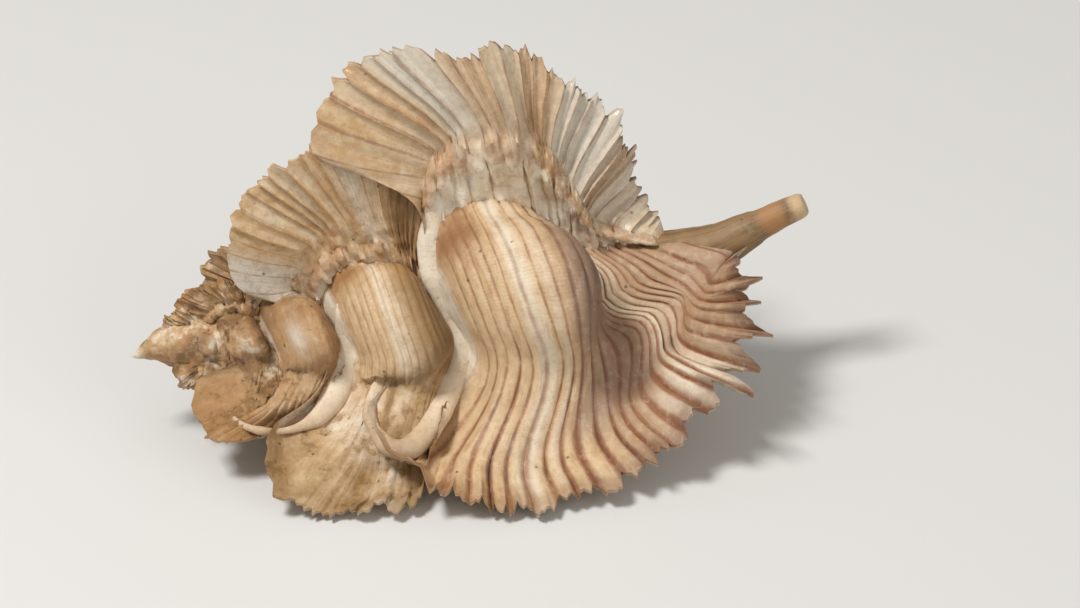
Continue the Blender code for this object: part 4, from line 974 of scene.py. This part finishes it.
def shell_finish():
    """Ivory, tan and brown shell: pale bands and brown lines along the cords, and a crusted spire."""
    shell = Finish("ivory_and_tan_shell")
    between = shell.between
    layered = shell.layered
    cord, growth = shell.map_pair("cords")
    f, side = shell.map_pair("wing")
    pale, lined = shell.map_pair("tone")
    stained_and_shaded, crusted = shell.map_pair("wear")
    place = shell.node("ShaderNodeTexCoord", out=3)

    from_face, from_mouth, rod_part = (between(side, n - 0.6, n - 0.4) for n in (ON_FACE, IN_MOUTH, ON_ROD))
    outside = 1 - from_face
    face = from_face * (1 - from_mouth)
    mouth = from_mouth * (1 - rod_part)
    older = 1 - between(growth, 12.6, 13.2)                 # the whorls before the last

    # noise that runs along the cords and flutes, and noise that lies anywhere
    along = growth * 37.0 + f * 24.0
    wander = shell.noise(place, 260.0, 2.0, 0.55) - 0.5
    streaks = shell.noise(shell.vector(cord + wander * 0.4, along * 0.07, face * 3.7), 2.2, 4.0)
    fibre = shell.noise(shell.vector(cord, along * 0.05, face * 3.7), 7.0, 2.0)
    blotch = shell.noise(place, 170.0, 4.0, 0.65)
    lumpy = shell.noise(place, 480.0)
    fine = shell.noise(place, 1400.0)
    mottled = shell.noise(place, 330.0)
    grain = shell.noise(place, 900.0, 4.0, 0.7)
    dusty = shell.noise(place, 800.0, 4.0, 0.7)
    leafy = face * (1 - between(f, 0.36, 0.46))             # inside the collar of a front face
    fibre = fibre + leafy * (lumpy - fibre)
    streaks = streaks + leafy * (lumpy * 0.6 + blotch * 0.4 - streaks)

    # ground colour, by cord outside and by flute on the front faces
    ground = layered(
        shell.node("ShaderNodeValToRGB", {"stops": BANDS}, cord * (1 / CORDS) + wander * 0.03),
        (between(streaks, 0.46, 0.72) * 0.7, TAN),
        (between(blotch, 0.54, 0.74) * 0.5, BEIGE))
    smaller = 1 - between(growth, 11.5, 12.5)
    first_flutes = between(growth, 13.4, 13.6) * (1 - between(cord, 3.5, 5.2))
    fluted = layered(
        FLUTE_TAN,
        (between(shell.random_at(cord.taken("FLOOR"), 3.0), 0.15, 0.9), FLUTE_PALE),
        (between(streaks, 0.45, 0.72) * 0.5, BEIGE),
        (between(fibre, 0.55, 0.70) * 0.45, IVORY),
        (smaller * (0.25 + between(streaks, 0.35, 0.65) * 0.5), FLUTE_HONEY),
        (first_flutes * (0.35 + between(blotch, 0.40, 0.62) * 0.4), FLUTE_WARM),
        (first_flutes * between(lumpy, 0.45, 0.62) * 0.35, FLUTE_CREAM))
    white = layered(
        WHITE,
        (between(blotch + fibre * 0.4, 0.5, 0.95), IVORY),
        (face * (1 - leafy) * 0.8, DULL_WHITE))

    # brown lines in the grooves outside, and thin painted shadows beside the ridges of the front faces
    wave = (cord * math.pi + wander * 0.6).taken("SINE").taken("ABSOLUTE")
    strong = shell.random_at(cord.taken("ROUND"), 5.0)
    line = 1 - between(wave, 0.08, 0.36 + strong * 0.35 + between(f, 0.1, 0.5) * 0.2)
    line = line * (0.45 + strong * 0.4 + between(blotch, 0.38, 0.62) * 0.5)
    part = (cord + 0.5 + wander * 0.05).taken("FRACT")
    # painted shadow along one side of each ridge of a front face
    beside = between(part, 0.44, 0.49) * (1 - between(part, 0.52, 0.62)) * between(f, 0.38, 0.48)
    line = line + face * (beside * between(fibre + streaks, 0.6, 1.2) * 2.2 - line)
    line = line * lined * (1 - mouth) * (1 - rod_part)
    line_kind = layered(BROWN, (between(blotch, 0.52, 0.7), PLUM), (older, OLD_LINE))
    broad = 1 - between(wave, 0.30, 0.55 + strong * 0.4)
    broad = broad * (0.40 + strong * 0.65) * (0.55 + between(lumpy, 0.40, 0.58) * 0.45)
    last_wing = between(growth, 14.62, 14.85) * outside * between(f, 0.0, 0.2)
    broad = broad * last_wing * lined * (1 - pale * 0.6)

    # golden older wings, and brown, plum and olive stains, which also carry painted shade
    golden = older * outside * between(f, 0.02, 0.25) * between(mottled + blotch, 0.75, 1.25)
    stain_colour_with_shade = layered(
        STAIN_AND_SHADE_BROWN,
        (between(cord, 7.5, 9.5), PLUM),
        (older * outside, OLD_STAIN),
        (between(growth, 11.2, 11.4) * (1 - between(growth, 12.4, 12.8)), OLIVE),
        (face, layered(BROWN, (between(cord, 10.0, 12.0), OLIVE))))
    streaks = streaks + older * outside * (mottled - streaks)
    stain_amount_with_shade = stained_and_shaded * between(streaks * 0.6 + blotch + stained_and_shaded * 0.35, 0.5, 1.0)

    # rust on the collar of the front face
    collar = face * between(f, 0.10, 0.22) * (1 - between(f, 0.42, 0.47))
    rust = between(blotch * 0.5 + lumpy * 0.4 + grain * 0.7, 0.78, 0.90)
    rust = collar * rust * (0.35 + between(f, 0.30, 0.37) * 0.55)
    rusty = layered(PINK, (fine, BEIGE), (between(grain, 0.46, 0.60), TAN))

    # crust on the spire, with dark umber patches painted as shade, and a worn white tip
    crust = layered(
        CRUST_BROWN,
        (between(blotch, 0.44, 0.60), CRUST_TAN),
        (between(lumpy, 0.50, 0.60) * 0.7, CRUST_RUST),
        (between(blotch + lumpy * 0.5, 0.82, 0.94), CRUST_PALE),
        (1 - between(lumpy, 0.30, 0.44), UMBER),
        (rod_part * (1 - between(f + blotch * 0.06, 0.05, 0.11)), WHITE))

    # fine mottling everywhere, brown and pale
    brown_dust = between(dusty, 0.50, 0.62) * (0.16 + older * between(f, 0.0, 0.2) * 0.14)
    pale_dust = between(1 - dusty, 0.52, 0.64) * (0.22 - stained_and_shaded * 0.16)

    # canal
    threads = shell.noise(shell.vector(cord, growth * 3.0, f * 1.5), 1.6)
    canal = layered(
        CANAL_DARK,
        (between(threads * 0.6 + blotch * 0.5, 0.40, 0.66), CANAL_BROWN),
        (between(lumpy, 0.52, 0.7) * 0.5, CANAL_GREY),
        (between(f, 0.74, 0.80) * (1 - between(f, 0.86, 0.91)) * 0.5, OCHRE),
        (between(f + lumpy * 0.1, 0.94, 1.0) * 0.8, CREAM))

    # dirt and dark specks
    dirty = older * outside * between(mottled + fine * 0.5, 0.80, 0.90)
    dirty = dirty * (0.25 + between(f, 0.05, 0.2) * 0.75)
    cells, chosen = (shell.node("ShaderNodeTexVoronoi", {"feature": "F1"}, place, None, 520.0, out=i)
                     for i in (0, 1))
    rare = 0.86 - older * 0.10
    speck = between(shell.node("ShaderNodeSeparateColor", {}, chosen), rare, rare + 0.02)
    speck = speck * (1 - between(cells + fine * 0.15, 0.12, 0.24))

    colour = layered(
        ground,
        (face, fluted),
        (pale, white),
        (broad, BROAD_LINE),
        (line, line_kind),
        (golden * 0.85, OLD_GOLD),
        (stain_amount_with_shade, stain_colour_with_shade),
        (rust, rusty),
        (crusted * 0.9, crust),
        (brown_dust, BROWN_DUST),
        (pale_dust, PALE_DUST),
        (rod_part * (1 - crusted), canal),
        (mouth, layered(PINK, (between(f, 0.2, 0.5), WHITE))),
        (dirty * 0.5, DIRT),
        (speck * 0.75, SPECK),
        (between(fine, 0.56, 0.74) * 0.22, OLIVE))
    shell.put(shell.surface.inputs["Base Color"], colour)

    glossy = face * (1 - leafy) * (1 - stained_and_shaded)
    rough = 0.42 + fine * 0.25 - glossy * 0.26 + crusted * 0.1 + stained_and_shaded * 0.1 - mouth * 0.25
    shell.put(shell.surface.inputs["Roughness"], rough)

    # thin growth leaves across the cords, fibres along the flutes, and grain
    step = (growth * 80.0 + f * 44.0 + wander * 4.0).taken("FRACT")
    leaves = step * (0.25 + stained_and_shaded * 0.6) * outside
    height = leaves + fibre * (0.5 + leafy * 1.6) + fine * 0.35 + crusted * lumpy * 1.2
    bump = shell.node("ShaderNodeBump", {}, Strength=0.7, Distance=0.00022, Height=height)
    shell.put(shell.surface.inputs["Normal"], bump)
    return shell.material


def plain_finish(name, colour, roughness):
    made = Finish(name)
    made.surface.inputs["Base Color"].default_value = colour
    made.surface.inputs["Roughness"].default_value = roughness
    return made.material


def pale_floor():
    """A wide pale floor."""
    half = 3.0
    corners = [(-half, -half, 0), (half, -half, 0), (half, half, 0), (-half, half, 0)]
    mesh = bpy.data.meshes.new("floor")
    mesh.from_pydata(corners, [], [(0, 1, 2, 3)])
    mesh.update()
    mesh.materials.append(plain_finish("pale_floor", tint(214, 212, 208), 0.7))
    floor = in_scene("floor", mesh)


# camera and lamps, in the design's own frame
TILT = 8.6                  # degrees the shell's axis drops to the right in the view
LENS = 135.0
VIEW_WIDTH = 0.135          # metres across the view at the shell
VIEW_CENTRE = (51.0, 6.5)   # mm along the axis and above it, as seen
STUDIO_COLOUR = (1.0, 0.99, 0.97, 1.0)
STUDIO_STRENGTH = 0.35
# metres to the right of the shell, above it and in front of it, as seen; watts; metres wide
LAMPS = (("key_lamp", -0.30, 0.42, 0.40, 3.6, 0.16), ("fill_lamp", 0.45, 0.05, 0.55, 1.2, 0.5))


def looked_at(placed):
    """The camera, square on to the side the shell shows, and the lamps round that view."""
    tilt = math.radians(TILT)
    right = Vector((math.cos(tilt), -math.sin(tilt), 0.0))
    above = Vector((math.sin(tilt), math.cos(tilt), 0.0))
    centre = placed @ ((right * VIEW_CENTRE[0] + above * VIEW_CENTRE[1]) * 0.001)
    turn = placed.to_3x3()
    right = turn @ right
    above = turn @ above
    towards = turn @ Vector((0.0, 0.0, 1.0))

    camera = bpy.data.cameras.new("camera")
    camera.lens = LENS
    distance = VIEW_WIDTH * LENS / camera.sensor_width
    camera.clip_start = 0.01
    camera.clip_end = 20.0
    seen_from = in_scene("camera", camera)
    seen_from.matrix_world = Matrix.Translation(centre + towards * distance) @ Matrix(
        (right, above, towards)).transposed().to_4x4()
    bpy.context.scene.camera = seen_from

    for name, across, up, out, energy, size in LAMPS:
        lamp = bpy.data.lights.new(name, "AREA")
        lamp.energy = energy
        lamp.size = size
        at = in_scene(name, lamp)
        at.location = centre + right * across + above * up + towards * out
        at.rotation_mode = "QUATERNION"
        at.rotation_quaternion = (at.location - centre).to_track_quat("Z", "Y")
        at.visible_camera = False

    world = bpy.data.worlds.new("studio")
    world.use_nodes = True
    background = world.node_tree.nodes["Background"]
    background.inputs[0].default_value = STUDIO_COLOUR
    background.inputs[1].default_value = STUDIO_STRENGTH
    bpy.context.scene.world = world


def main():
    shell, placed = grown_shell()
    shell.data.materials.append(shell_finish())
    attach(shell, "root")
    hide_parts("shell")
    pale_floor()
    looked_at(placed)
    bpy.context.scene.view_settings.view_transform = "Standard"


main()
